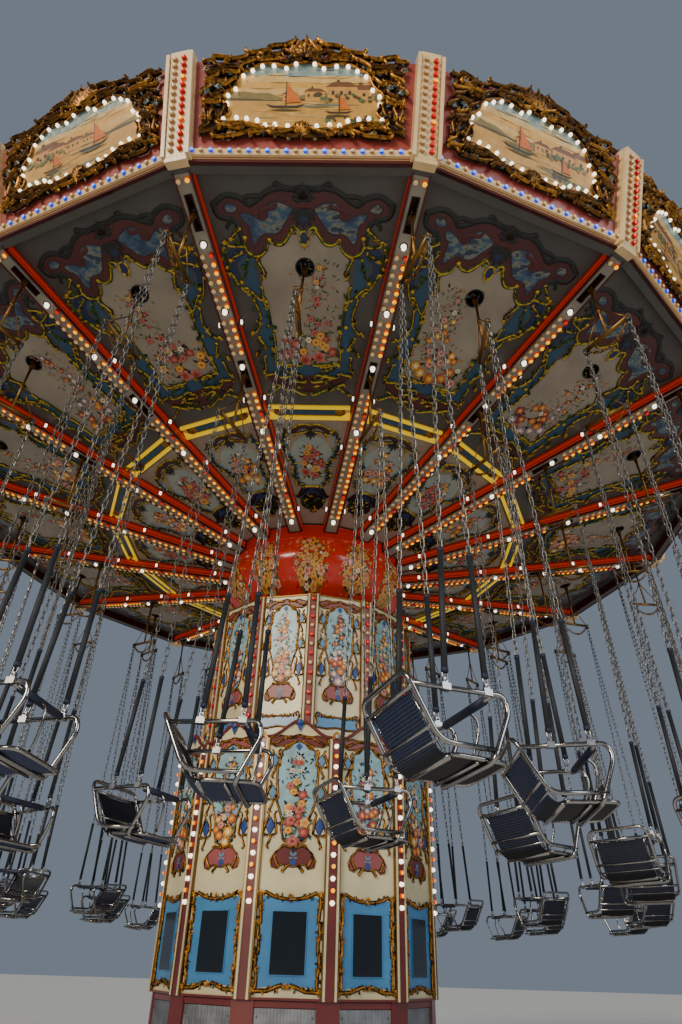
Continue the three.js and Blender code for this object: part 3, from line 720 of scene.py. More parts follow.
# The scrolls of a board's frame on its right side: start, end, the curls at both ends and the bow.
BOARD_SCROLLS = [
    ((0.03, 1.36), (0.13, 1.24), (-4.2, 3.4), -0.5), ((0.1, 1.38), (0.2, 1.3), (3.4, -4.2), 0.3),
    ((0.06, 1.18), (0.22, 1.24), (3.6, -4.4), 0.5), ((0.15, 1.33), (0.36, 1.27), (2.6, -3.6), -0.3),
    ((0.22, 1.2), (0.42, 1.2), (-3.4, 3.8), -0.9), ((0.36, 1.25), (0.56, 1.24), (-2.6, 4.8), 0.4),
    ((0.06, 1.15), (0.22, 1.14), (-3.6, 3.6), 0.6), ((0.24, 1.15), (0.44, 1.14), (-3.4, 3.0), -0.5),
    ((0.44, 1.15), (0.6, 1.02), (3.4, -3.6), -0.5), ((0.54, 1.18), (0.74, 1.1), (3.0, -3.8), 0.4),
    ((0.62, 1.05), (0.84, 1.08), (-3.8, 4.0), 0.3), ((0.7, 1.15), (0.86, 1.15), (3.8, -3.8), -0.7),
    ((0.84, 1.12), (0.94, 1.12), (-2.6, 5.0), -0.4), ((0.6, 0.98), (0.74, 0.98), (4.2, -3.4), 0.5),
    ((0.74, 1.0), (0.9, 0.98), (-3.6, 4.4), -0.5), ((0.64, 0.9), (0.74, 0.83), (-3.6, 4.0), 0.4),
    ((0.78, 0.95), (0.9, 0.86), (3.4, -4.0), 0.4), ((0.72, 0.86), (0.86, 0.84), (4.0, -3.8), -0.6),
    ((0.74, 0.76), (0.84, 0.7), (-3.6, 4.2), 0.4), ((0.84, 0.82), (0.93, 0.72), (4.0, -4.2), -0.5),
    ((0.74, 0.68), (0.9, 0.64), (-3.2, 4.6), 0.5), ((0.75, 0.62), (0.9, 0.6), (3.6, -3.6), 0.3),
    ((0.7, 0.58), (0.76, 0.45), (-4.2, 3.6), 0.5), ((0.8, 0.56), (0.82, 0.42), (3.8, -4.0), -0.5),
    ((0.88, 0.54), (0.87, 0.4), (-3.6, 4.0), 0.4), ((0.52, 0.385), (0.76, 0.38), (-3.6, 3.6), 0.5),
    ((0.82, 0.38), (0.9, 0.3), (4.0, -3.6), 0.4), ((0.36, 0.32), (0.54, 0.35), (3.6, -3.4), -0.5),
    ((0.08, 0.32), (0.3, 0.28), (-3.6, 3.8), 0.7), ((0.26, 0.3), (0.46, 0.25), (4.0, -3.4), -0.4),
    ((0.04, 0.24), (0.24, 0.24), (3.4, -3.6), 0.4), ((0.44, 0.3), (0.64, 0.25), (-3.8, 3.4), 0.5),
    ((0.54, 0.31), (0.74, 0.32), (3.6, -3.8), -0.3), ((0.62, 0.24), (0.8, 0.25), (-3.4, 3.8), 0.5),
    ((0.76, 0.31), (0.9, 0.25), (3.4, -4.6), -0.4),
]


def wavy(dice, left, right, height, swell):
    """A line of low waves from left to right."""
    steps = 14
    phase = dice.uniform(0, 6)
    return [
        (
            left + (right - left) * k / steps,
            height + swell * (math.sin(phase + k * 0.9) + 0.5 * math.sin(phase * 2 + k * 2.1)),
        )
        for k in range(steps + 1)
    ]


def cottage(art, dice, at, width, out):
    u, v = at
    tall = width * dice.uniform(0.5, 0.7)
    art.strip(u, v, u + width, v + tall, "wall", out)
    ridge = v + tall + width * 0.22
    art.fill([(u - 0.02, v + tall), (u + width + 0.02, v + tall), (u + width * 0.75, ridge),
              (u + width * 0.2, ridge)], "tiles", out + 0.0005)
    art.strip(u + width * 0.3, ridge - 0.02, u + width * 0.4, ridge + 0.025, "near hill", out + 0.0004)
    for k in range(3):
        left = u + width * (0.14 + 0.28 * k)
        art.strip(left, v + tall * 0.45, left + width * 0.09, v + tall * 0.72, "hull", out + 0.001)


def sailing_boat(art, at, size, out):
    u, v = at
    art.fill([(u - size, v + size * 0.22), (u - size * 0.7, v), (u + size * 0.6, v),
              (u + size, v + size * 0.26), (u + size * 0.5, v + size * 0.12),
              (u - size * 0.6, v + size * 0.12)], "hull", out)
    art.strip(u - 0.004, v, u + 0.004, v + size * 1.7, "hull", out + 0.0004)
    mast = u + 0.006
    sail = [(mast, v + size * 0.3), (u + size * 0.8, v + size * 0.35), (mast, v + size * 1.6)]
    art.fill(sail, "sail", out + 0.0008)
    art.leaf((u - size * 0.9, v - 0.03), 0, size * 1.8, 0.03, "near hill", out)


def landscape(art, dice):
    """A hazy view over still water, with cottages, trees and a sailing boat."""
    left, right, low, high = -0.75, 0.75, 0.33, 1.14
    bands = ["dusk sky", "dusk sky", "cloud", "haze", "cloud", "haze"]
    horizon = 0.68
    for i, tint in enumerate(bands):
        top = high - (high - horizon) * i / len(bands)
        bottom = high - (high - horizon) * (i + 1) / len(bands)
        edge = wavy(dice, left, right, top, 0.008) if i else [(left, top), (right, top)]
        art.fill([(left, bottom), (right, bottom), *reversed(edge)], tint, 0.003 + 0.0006 * i)
    for _ in range(5):
        u, v = dice.uniform(-0.5, 0.3), dice.uniform(horizon + 0.2, high - 0.06)
        art.leaf((u, v), 0.03, dice.uniform(0.2, 0.45), 0.03, "cloud", 0.008)
    for tint, rise, out in (("far hill", 0.08, 0.009), ("near hill", 0.025, 0.0095)):
        crest = wavy(dice, left, right, horizon + rise, rise * 0.45)
        art.fill([(left, horizon - 0.01), (right, horizon - 0.01), *reversed(crest)], tint, out)
    side = dice.choice((-1, 1))
    for k in range(4):
        place = side * (-0.5 + 0.2 * k) - 0.09
        cottage(art, dice, (place, horizon), dice.uniform(0.2, 0.3) * (1.15 - 0.2 * k), 0.01 + 0.0012 * k)
    art.strip(left, low, right, horizon, "water", 0.0105)
    for i in range(22):
        v = low + (horizon - low) * ((i + 0.5) / 22)
        u = dice.uniform(-0.62, 0.3)
        tint = dice.choice(("deep water", "cloud", "haze", "far hill"))
        art.leaf((u, v), 0, dice.uniform(0.2, 0.5), 0.018, tint, 0.0115 + 0.0001 * i)
    for _ in range(30):
        u, v = side * dice.uniform(-0.66, -0.1), dice.uniform(0.68, 0.76)
        tint = dice.choice(("leaf", "near hill", "far hill"))
        art.disc((u, v), dice.uniform(0.012, 0.03), tint, 0.0155, 0.001, 7, 4, u)
    for _ in range(16):
        u, v = side * dice.uniform(-0.62, -0.2), dice.uniform(0.42, 0.5)
        radius = dice.uniform(0.015, 0.035)
        art.disc((u, v), radius, dice.choice(("leaf", "near hill")), 0.015, 0.001, 7, 4, u)
    sailing_boat(art, (side * 0.16, 0.6), 0.18, 0.0165)
    sailing_boat(art, (-side * 0.32, 0.54), 0.13, 0.0165)


def carving(art, dice, gold, second):
    """The carved frame: scrolls and leaves along the opening, rising to a crest, with painted shade in its
    hollows.
    """
    outline = both_sides(BOARD_OUTLINE, 3)
    opening = both_sides(BOARD_OPENING, 3)
    # The dark plate behind the carving is painted shade.
    art.fill(outline, "bronze", 0.019, [opening])
    art.ribbon(opening + opening[:1], 0.022, gold, 0.022, 0.02, False)
    for u, v in BOARD_BULBS:
        for side in (1, -1):
            art.bulb((side * u, v), BOARD_BULB_RADIUS, "white bulb", 0.024)
    for i, (start, end, curls, bow) in enumerate(BOARD_SCROLLS):
        tint = second if i % 4 == 2 else gold
        # Each scroll lies on a wider dark ribbon: painted shade along its sides.
        art.scrolls(start, end, curls, 0.022, tint, 0.026 + 0.002 * (i % 3), 0.034, bow, "bronze")
        lift = 0.03 + 0.002 * (i % 3)
        for k in range(3):
            share = 0.25 + 0.25 * k
            spot = (start[0] + (end[0] - start[0]) * share, start[1] + (end[1] - start[1]) * share)
            leaf_tint = ("verdigris", gold, second)[(i + k) % 3]
            art.leaves(spot, dice.uniform(0, 2 * math.pi), 0.055, 0.022, leaf_tint, lift, 0.022)
    art.spray((0, 1.17), math.pi / 2, 0.3, gold, 0.04, 0.03, 7, 0.36)
    art.spray((0, 1.16), math.pi / 2, 0.17, second, 0.055, 0.03, 5, 0.5)
    art.spray((0, 0.29), math.pi / 2, 0.15, gold, 0.035, 0.025, 7, 0.42)
    art.spray((0, 0.29), -math.pi / 2, 0.09, second, 0.035, 0.025, 5, 0.5)
    for k in range(8):
        art.knobs([(0.53 + 0.03 * k, 0.345 + 0.012 * math.cos(k))], 0.013, "gold", 0.04, 0.014)
    for place in ((0.77, 0.82), (0.88, 0.76), (0.9, 1.02), (0.62, 0.27), (0.2, 0.28)):
        for side in (1, -1):
            art.disc((side * place[0], place[1]), 0.035, "verdigris", 0.04, 0.02, 10, 5, place[0])
        art.knobs([place], 0.012, gold, 0.058, 0.01)


def rounding_board(number):
    dice = random.Random(40 + number)
    art = Art(board_surface(LEAN, APOTHEM + 0.002))
    landscape(art, dice)
    gold, second = ("gold", "old gold") if number % 2 == 0 else ("old gold", "gold")
    carving(art, dice, gold, second)
    art.slab(-0.985, 0.045, 0.985, 0.108, "cream", 0, 0.03)
    pitch = 0.0823
    for i in range(24):
        tint = "blue bulb" if i % 2 == 0 else "clear bulb"
        art.bulb((-0.947 + i * pitch, 0.083), 0.023, tint, 0.03)
    return art.parts


def corner_post():
    """The cover of a corner: two columns of bulbs between two upright fins."""
    art = Art(board_surface(POST_LEAN, RIM_RADIUS + 0.02))
    art.slab(-0.128, -0.01, 0.128, 1.2, "cream", -0.07, 0.012)
    art.slab(-0.09, -0.005, 0.09, 1.225, "cream", 0.0, 0.03)
    for side in (-1, 1):
        art.slab(side * 0.112 - 0.016, 0.0, side * 0.112 + 0.016, 1.19, "cream", 0.0, 0.05)
    for i in range(14):
        height = 0.07 + i * 0.081
        art.bulb((-0.043, height), 0.028, "clear bulb", 0.03)
        art.bulb((0.043, height), 0.028, "orange bulb" if i % 6 == 4 else "red bulb", 0.03)
    art.slab(-0.1, -0.05, 0.1, 0.0, "cream", -0.06, 0.03)
    return art.parts


def rim_lip():
    """The thin dark red lip under the boards, and the soffit's plain edge inside it."""
    art = Art(board_surface(0, APOTHEM + 0.003))
    art.slab(-1.07, 0.022, 1.07, 0.042, "cream", -0.03, 0.008)
    art.slab(-1.07, -0.027, 1.07, 0.022, "deep red", -0.03, 0.006)
    under = Art(lambda across, up, out: (across, -up, RIM_ABOVE_PIVOT - 0.025 - out))
    for inner, outer, tint in ((5.295, 5.375, "soffit"), (5.375, APOTHEM + 0.012, "deep red")):
        sector_field(under, outer, inner, tint, 0.002)
    art.parts.take(under.parts, Matrix.Identity(4))
    return art.parts


# The soffit panels


def sector_field(art, outer, inner, tint, out, margin=0.0):
    """A flat field over one sector, from the inner to the outer distance."""
    half = math.tan(SECTOR / 2)
    art.put(
        [(-inner * half + margin, inner, out), (inner * half - margin, inner, out),
         (outer * half - margin, outer, out), (-outer * half + margin, outer, out)],
        [(0, 1, 2, 3)],
        tint,
    )


HOLE_RADIUS = 0.086
MIDDLE_RADIUS = ROWS["middle"][0]


def outer_panel(number):
    """From the rim to the light bars: a scrolled canopy over a tall frame with a bouquet."""
    dice = random.Random(90 + number)
    art = Art(soffit_surface)
    hole = oval(MIDDLE_RADIUS, HOLE_RADIUS, HOLE_RADIUS, 16)
    field = both_sides([
        (0, 4.76), (0.1, 4.75), (0.2, 4.63), (0.33, 4.63), (0.42, 4.5), (0.42, 4.3), (0.44, 4.2),
        (0.4, 4.05), (0.37, 3.85), (0.34, 3.7), (0.36, 3.55), (0.34, 3.42), (0.25, 3.32), (0, 3.34),
    ])
    art.fill(field, "field", 0.003, [hole])
    band = curve([
        (0.6, 4.52), (0.63, 4.42), (0.6, 4.3), (0.56, 4.2), (0.5, 4.1), (0.475, 3.98), (0.475, 3.84),
        (0.49, 3.72), (0.45, 3.6), (0.47, 3.48), (0.46, 3.38), (0.4, 3.3), (0.28, 3.26), (0.26, 3.34),
        (0.33, 3.44), (0.35, 3.56), (0.33, 3.7), (0.36, 3.84), (0.375, 4.0), (0.4, 4.12),
        (0.46, 4.22), (0.47, 4.34), (0.5, 4.44), (0.48, 4.5),
    ], 3, closed=True)
    art.mirrored(band, "mid blue", 0.005)
    pocket = curve([
        (0.56, 4.6), (0.66, 4.62), (0.75, 4.54), (0.76, 4.44), (0.7, 4.34), (0.64, 4.24), (0.63, 4.32),
        (0.66, 4.42), (0.62, 4.5), (0.57, 4.54),
    ], 3, closed=True)
    art.mirrored(pocket, "night blue", 0.006)
    canopy = both_sides([
        (0, 5.13), (0.1, 5.12), (0.2, 5.13), (0.32, 5.1), (0.42, 5.03), (0.5, 4.985), (0.57, 5.04),
        (0.68, 5.065), (0.77, 5.03), (0.82, 4.96), (0.78, 4.88), (0.69, 4.86), (0.63, 4.83),
        (0.6, 4.76), (0.58, 4.66), (0.54, 4.57), (0.47, 4.54), (0.4, 4.58), (0.36, 4.65), (0.28, 4.66),
        (0.2, 4.67), (0.15, 4.75), (0.08, 4.8), (0, 4.79),
    ], 3)
    art.fill(canopy, "band red", 0.007)
    infill = curve([
        (0.1, 4.95), (0.16, 4.995), (0.26, 5.02), (0.33, 4.99), (0.35, 4.94), (0.33, 4.89), (0.39, 4.85),
        (0.46, 4.89), (0.55, 4.92), (0.59, 4.9), (0.56, 4.84), (0.515, 4.8), (0.5, 4.7), (0.47, 4.62),
        (0.43, 4.68), (0.37, 4.73), (0.28, 4.73), (0.22, 4.76), (0.18, 4.82), (0.14, 4.88),
    ], 3, closed=True)
    eye = curve([
        (0.61, 4.95), (0.64, 4.99), (0.7, 5.0), (0.73, 4.96), (0.7, 4.915), (0.64, 4.92),
    ], 3, closed=True)
    for loop in (infill, eye):
        art.mirrored(loop, "marbled blue", 0.009)
        art.ribbons(loop + loop[:1], 0.016, "plum", 0.009, 0.004, False)
    art.ribbons(canopy[: len(canopy) // 3], 0.05, "dark leaf", 0.009, 0.014, False)
    art.scrolls((0.16, 5.12), (0.26, 5.16), (2.0, -5.4), 0.034, "dark leaf", 0.012, 0.014, -0.3)
    art.scrolls((0.38, 5.06), (0.54, 5.03), (3.4, -3.4), 0.04, "dark leaf", 0.012, 0.014, -0.6)
    art.scrolls((0.76, 5.02), (0.84, 4.98), (2.4, -5.4), 0.036, "dark leaf", 0.012, 0.014, 0.3)
    art.scrolls((0.66, 4.85), (0.72, 4.78), (3.0, -4.8), 0.03, "dark leaf", 0.012, 0.014)
    art.scrolls((0.26, 4.97), (0.4, 4.92), (4.6, -2.0), 0.045, "band red", 0.011, 0.008, -0.6)
    art.spray((0, 5.02), math.pi / 2, 0.17, "dark leaf", 0.014, 0.014, 7, 0.42)
    art.spray((0, 5.04), math.pi / 2, 0.1, "bronze", 0.024, 0.014, 5, 0.45)
    art.spray((0, 4.96), -math.pi / 2, 0.2, "dark leaf", 0.014, 0.01, 7, 0.4)
    art.spray((0, 4.9), -math.pi / 2, 0.1, "night blue", 0.02, 0.01, 5, 0.4)
    for k in range(8):
        art.knobs([(0.03 + 0.018 * k, 5.14 - 0.004 * k)], 0.014, "dark leaf", 0.02, 0.016)
    scallops = [
        [(0.1, 4.79), (0.14, 4.73), (0.2, 4.65), (0.27, 4.64), (0.33, 4.68)],
        [(0.34, 4.65), (0.37, 4.58), (0.44, 4.53), (0.52, 4.55), (0.57, 4.62), (0.55, 4.7)],
        [(0.04, 4.77), (0.09, 4.8), (0.12, 4.77), (0.07, 4.73)],
    ]
    for line in scallops:
        edge = curve(line, 4)
        art.ribbons(edge, 0.044, "green gold", 0.011, 0.008)
        art.ribbons(edge, 0.017, "yellow gold", 0.018, 0.014)
    medallion = oval(4.7, 0.045, 0.065, 16)
    art.disc((0, 4.7), 0.05, "night blue", 0.012, 0.006, 10)
    art.ribbon(medallion + medallion[:1], 0.018, "yellow gold", 0.016, 0.012, False)
    art.spray((0, 4.65), -math.pi / 2, 0.06, "yellow gold", 0.018, 0.01, 3, 0.7)
    runs = [
        ((0.57, 4.62), (0.74, 4.65), (-4.0, 4.2), 0.5), ((0.6, 4.78), (0.68, 4.7), (4.4, -3.0), 0.3),
        ((0.77, 4.6), (0.74, 4.38), (4.2, 3.0), -0.5), ((0.6, 4.56), (0.7, 4.5), (4.2, -3.4), 0.4),
        ((0.72, 4.36), (0.58, 4.18), (3.0, -3.0), -0.3), ((0.58, 4.22), (0.42, 4.1), (2.6, -4.4), 0.4),
        ((0.55, 4.5), (0.62, 4.3), (-3.6, 2.6), 0.5), ((0.46, 4.5), (0.41, 4.34), (-4.4, 4.0), 0.4),
        ((0.43, 4.22), (0.4, 4.04), (3.4, -3.0), -0.4), ((0.52, 4.1), (0.475, 3.88), (-3.0, 3.0), 0.4),
        ((0.39, 4.02), (0.34, 3.8), (3.0, -3.8), 0.3), ((0.475, 3.84), (0.56, 3.75), (2.0, 5.0), 0.5),
        ((0.5, 3.7), (0.44, 3.6), (-4.0, 3.0), -0.6), ((0.35, 3.76), (0.35, 3.58), (-3.4, 3.4), 0.3),
        ((0.44, 3.6), (0.52, 3.52), (-3.0, -4.8), 0.6), ((0.46, 3.48), (0.47, 3.32), (-3.4, 3.4), 0.3),
        ((0.35, 3.56), (0.33, 3.42), (3.2, -3.8), 0.3), ((0.31, 3.4), (0.16, 3.38), (3.6, -4.0), 0.4),
    ]
    for i, (start, end, curls, bow) in enumerate(runs):
        tint = "green gold" if i % 4 == 2 else "yellow gold"
        shade = "dark leaf" if i % 2 else "green gold"
        art.scrolls(start, end, curls, 0.015, tint, 0.013, 0.016, bow, shade)
        art.knobs([start], 0.014, "yellow gold", 0.02)
        way = math.atan2(start[1] - end[1], start[0] - end[0])
        middle = ((start[0] + end[0]) / 2, (start[1] + end[1]) / 2)
        for sign in (1, -1):
            angle = way if sign == 1 else math.pi - way
            art.spray((sign * middle[0], middle[1]), angle + 0.9, 0.07, "green gold", 0.02, 0.012, 3, 0.5)
            art.spray((sign * end[0], end[1]), angle + math.pi, 0.055, "yellow gold", 0.024, 0.01, 3, 0.5)
    art.knobs([(0.33, 4.68), (0.56, 4.7), (0.74, 4.66), (0.78, 4.58), (0.79, 4.5), (0.76, 4.42),
               (0.56, 3.75), (0.4, 3.82), (0.53, 3.52)], 0.022, "yellow gold", 0.018, 0.016)
    art.leaves((0.4, 4.42), -math.pi / 2, 0.12, 0.06, "bronze", 0.008, 0.003)
    art.leaves((0.4, 4.41), -math.pi / 2, 0.1, 0.045, "band red", 0.01, 0.006)
    foot_blue = both_sides([(0, 3.4), (0.24, 3.39), (0.4, 3.36), (0.42, 3.28), (0.2, 3.25), (0, 3.26)], 3)
    art.fill(foot_blue, "mid blue", 0.0055)
    foot = both_sides([
        (0, 3.27), (0.2, 3.25), (0.38, 3.28), (0.43, 3.22), (0.32, 3.14), (0.18, 3.11), (0, 3.06),
    ], 3)
    art.fill(foot, "band red", 0.007)
    for i in range(22):
        u, v = dice.uniform(0, 0.24), dice.uniform(3.1, 3.4)
        tint = ("yellow gold", "green gold", "dark leaf", "green gold")[i % 4]
        for sign in (1, -1):
            way = dice.uniform(-0.7, 0.7) + (0 if sign == 1 else math.pi)
            art.leaf((sign * u, v), way, 0.09, 0.03, tint, 0.012 + 0.0006 * i, 0.012)
    for start, end, curls, bow in (
        ((0.06, 3.4), (0.26, 3.39), (4.4, -4.0), 0.4), ((0.1, 3.29), (0.34, 3.28), (-4.0, 3.6), 0.6),
        ((0.36, 3.3), (0.47, 3.26), (3.6, -4.4), 0.4), ((0.38, 3.18), (0.22, 3.1), (4.4, -2.4), 0.6),
        ((0.2, 3.11), (0.03, 3.05), (3.4, -3.6), 0.4), ((0.3, 3.14), (0.43, 3.05), (-2.6, 1.6), -0.7),
        ((0.04, 3.2), (0.2, 3.2), (4.4, -4.0), 0.3),
    ):
        art.scrolls(start, end, curls, 0.015, "yellow gold", 0.026, 0.014, bow, "green gold")
    column = 0.14 if number % 2 == 0 else -0.14
    palettes = (ROSES, WARM, MIXED)[number % 3]
    art.bouquet(dice, (0.02, 3.62), 0.25, 0.2, 13, 0.056, palettes, 0.006, 7)
    art.bouquet(dice, (column, 4.02), 0.1, 0.4, 12, 0.036, palettes, 0.005, 9)
    for _ in range(120):
        u, v = dice.gauss(column * 1.1, 0.12), dice.uniform(3.42, 4.5)
        tint = dice.choice(("leaf", "far hill", "green gold", "far hill", "coral"))
        art.leaf((max(-0.3, min(0.3, u)), v), dice.uniform(0, 6.2), 0.05, 0.018, tint, 0.0045)
    rim = oval(MIDDLE_RADIUS, 1.05 * HOLE_RADIUS, 1.05 * HOLE_RADIUS, 16)
    art.ribbon(rim + rim[:1], 0.014, "black", 0.004, 0.004, False)
    return art.parts


def inner_panel(number):
    """From the light bars to the drum: a wreath round a bouquet, and a gilt shell."""
    dice = random.Random(170 + number)
    art = Art(soffit_surface)
    sector_field(art, 2.7, 1.16, "field", 0.002, 0.1)
    arch = both_sides([
        (0, 2.655), (0.06, 2.64), (0.12, 2.64), (0.2, 2.6), (0.27, 2.56), (0.29, 2.52), (0.2, 2.52),
        (0.12, 2.575), (0.06, 2.59), (0, 2.56),
    ], 3)
    art.fill(arch, "plum", 0.006)
    shadow = [
        (0.27, 2.5), (0.3, 2.42), (0.3, 2.3), (0.25, 2.2), (0.2, 2.1), (0.18, 1.98), (0.17, 1.86),
        (0.12, 1.79),
    ]
    art.ribbons(curve(shadow, 3), 0.05, "slate blue", 0.004, 0.002, False)
    vine = curve([(0.28, 2.56), (0.315, 2.46), (0.32, 2.34), (0.28, 2.22), (0.22, 2.13), (0.2, 2.02),
                  (0.2, 1.92), (0.17, 1.83), (0.12, 1.77)], 5)
    art.ribbons(vine, 0.034, "dark leaf", 0.008, 0.01, False)
    for sign in (1, -1):
        for i, (u, v) in enumerate(vine):
            way = dice.uniform(0, 2 * math.pi)
            tint = ("dark leaf", "green gold", "dark leaf", "leaf")[i % 4]
            art.leaf((sign * u, v), way, 0.055, 0.026, tint, 0.014, 0.012)
            if i % 4 == 1:
                art.leaf((sign * u, v), way + 2.5, 0.06, 0.026, "yellow gold", 0.018, 0.014)
    gilt_edge = curve([(0.02, 2.65), (0.1, 2.65), (0.19, 2.61), (0.28, 2.55)], 5)
    art.ribbons(gilt_edge, 0.024, "yellow gold", 0.012, 0.014)
    art.knobs([(0.26, 2.33), (0.27, 2.17), (0.22, 2.05), (0.23, 1.94), (0.15, 2.0), (0.13, 1.87),
               (0.18, 2.48), (0.25, 2.47), (0.24, 2.55), (0.19, 1.8)], 0.018, "yellow gold", 0.016, 0.014)
    art.spray((0, 2.6), -math.pi / 2, 0.17, "dark leaf", 0.012, 0.012, 5, 0.34)
    art.spray((0, 2.64), math.pi / 2, 0.05, "yellow gold", 0.018, 0.012, 5, 0.6)
    art.scrolls((0.04, 2.56), (0.2, 2.5), (3.6, -4.0), 0.018, "yellow gold", 0.014, 0.012, 0.4, "plum")
    art.fill(oval(2.14, 0.27, 0.3564, 24), "mist", 0.0035)
    art.bouquet(dice, (0, 2.14), 0.14, 0.23, 14, 0.05, (ROSES, WARM)[number % 2], 0.005, 8)
    shade = both_sides([
        (0, 1.755), (0.1, 1.75), (0.15, 1.69), (0.19, 1.6), (0.16, 1.56), (0.1, 1.6), (0, 1.63),
    ], 3)
    art.fill(shade, "night blue", 0.006)
    cornice = curve([(0.12, 1.75), (0.05, 1.762), (0, 1.765), (-0.05, 1.762), (-0.12, 1.75)], 4)
    art.ribbon(cornice, 0.028, "yellow gold", 0.012, 0.016, False)
    art.scrolls((0.12, 1.74), (0.19, 1.6), (-2.0, 4.6), 0.026, "bronze", 0.014, 0.014, -0.4)
    art.scrolls((0.06, 1.72), (0.15, 1.62), (-3.0, 3.0), 0.026, "bronze", 0.014, 0.014, -0.4)
    art.fill(oval(1.52, 0.155, 0.13, 16), "bronze", 0.007)
    for k in range(60):
        way = dice.uniform(0, 2 * math.pi)
        reach = math.sqrt(dice.uniform(0, 1))
        spot = (0.13 * reach * math.cos(way), 1.52 + 0.11 * reach * math.sin(way))
        tint = ("dark leaf", "green gold", "green gold", "yellow gold", "bronze")[k % 5]
        way += dice.uniform(-0.6, 0.6)
        art.leaf(spot, way, 0.045, 0.024, tint, 0.012 + 0.0004 * k, 0.014)
    art.spray((0, 1.42), -math.pi / 2, 0.08, "gold", 0.03, 0.014, 5, 0.5)
    return art.parts


def light_bars():
    """A lit frame across the panel, round a blue strip between gilt arrow heads."""
    art = Art(soffit_surface)
    half = math.tan(SECTOR / 2) * 2.8 - 0.1
    low, high = 2.73, 2.9
    art.slab(-half, low, half, high, "yellow", 0, 0.012)
    art.slab(-half, low, half, low + 0.04, "tube", 0.012, 0.034)
    art.slab(-half, high - 0.034, half, high, "tube", 0.012, 0.034)
    for side in (-1, 1):
        end = [(half, low + 0.04), (half - 0.1, low + 0.04), (half - 0.02, 2.82), (half, 2.82)]
        art.fill([(side * u, v) for u, v in end], "tube", 0.02)
    art.slab(-0.4, low + 0.04, 0.4, high - 0.034, "brown line", 0.012, 0.014)
    art.slab(-0.31, 2.79, 0.31, 2.845, "mid blue", 0.014, 0.018)
    for v in (2.78, 2.853):
        art.ribbon([(-0.36, v), (0.36, v)], 0.01, "gold", 0.016, 0.006, False)
    for sign in (1, -1):
        way = 0 if sign == 1 else math.pi
        art.spray((sign * 0.28, 2.817), way, 0.13, "gold", 0.02, 0.012, 5, 0.3)
        art.disc((sign * 0.3, 2.817), 0.024, "gold", 0.02, 0.014, 8, 4)
    return art.parts


# The light beams

SLOT_HALF = 0.16
SLOT_CLEAR = 0.22
LAMP_PLACES = (4.79, 4.13, 3.52, 2.71, 1.35)
STAR_PLACES = (3.96, 3.08, 2.43, 1.48)
BEAM_START = 1.17
BEAM_END = 5.42
BEAM_BULB_PITCH = 0.083
BEAM_BULB_RADIUS = 0.028


def star_lamp(parts, sign, radius):
    """A small lamp on the side of a beam: a steel back and a bright face."""
    height = underside(radius) + 0.05
    near = BEAM_WIDTH / 2
    back, front = (0.0, 0.02, 0.02, 0.03, "steel"), (0.02, 0.014, 0.014, 0.022, "white bulb")
    for out, thick, half, tall, tint in (back, front):
        x0, x1 = sorted((sign * (near + out), sign * (near + out + thick)))
        box(parts, (x0, -radius - half, height - tall), (x1, -radius + half, height + tall), tint)


def beam_side(parts, sign, lift, tall, out, tint):
    """A painted strip along one side of a beam."""
    x = sign * (BEAM_WIDTH / 2 + out)
    points = []
    for radius in (BEAM_START, 5.36):
        base = underside(radius) + lift
        points += [(x, -radius, base), (x, -radius, base + tall)]
    parts.add(points, [(0, 1, 3, 2)] if sign == 1 else [(2, 3, 1, 0)], tint)


def beam_lights():
    """A beam's cream underside with its slots, two rows of bulbs, white lamps and star lamps."""
    art = Art(beam_surface)
    slots = [ROWS["inner"][0], ROWS["outer"][0]]
    cuts = [BEAM_START, slots[0] - SLOT_HALF, slots[0] + SLOT_HALF, slots[1] - SLOT_HALF,
            slots[1] + SLOT_HALF, BEAM_END]
    face = 0.07
    for start, end in ((cuts[0], cuts[1]), (cuts[2], cuts[3]), (cuts[4], cuts[5])):
        art.strip(-face, start, face, end, "beam cream", 0.003)
    for start, end in ((cuts[1], cuts[2]), (cuts[3], cuts[4])):
        art.strip(-face, start, -0.032, end, "beam cream", 0.003)
        art.strip(0.032, start, face, end, "beam cream", 0.003)
    for sign in (1, -1):
        art.slab(sign * 0.08 - 0.009, BEAM_START, sign * 0.08 + 0.009, BEAM_END, "deep red", 0, 0.014)
    for radius in slots:
        low, high = radius - SLOT_HALF, radius + SLOT_HALF
        loop = [(0.036, high), (0.036, low), (-0.036, low), (-0.036, high), (0.036, high)]
        art.ribbon(loop, 0.012, "black", 0.004, 0.004, False)
    first = 1.45
    for i in range(int((5.38 - first) / BEAM_BULB_PITCH) + 1):
        radius = first + i * BEAM_BULB_PITCH
        if min(abs(radius - s) for s in slots) < SLOT_CLEAR:
            continue
        if min(abs(radius - s) for s in LAMP_PLACES) < BEAM_BULB_PITCH / 2:
            continue
        art.bulb((-0.042, radius), BEAM_BULB_RADIUS, "clear bulb", 0.003)
        tint = "red bulb" if i % 7 == 4 else "orange bulb"
        art.bulb((0.042, radius), BEAM_BULB_RADIUS, tint, 0.003)
    for radius in LAMP_PLACES:
        art.disc((0, radius), 0.04, "black", 0.006, 0.0, 12)
        art.bulb((0, radius), BEAM_BULB_RADIUS, "white bulb", 0.008, 8)
    for sign in (1, -1):
        for radius in STAR_PLACES:
            star_lamp(art.parts, sign, radius)
        # The vermilion strips glow a little though they are no lamp: painted light.
        beam_side(art.parts, sign, 0.012, 0.096, 0.002, "vermilion")
        beam_side(art.parts, sign, 0.034, 0.01, 0.003, "deep red")
        beam_side(art.parts, sign, 0.088, 0.01, 0.003, "deep red")
    return art.parts


# The drum

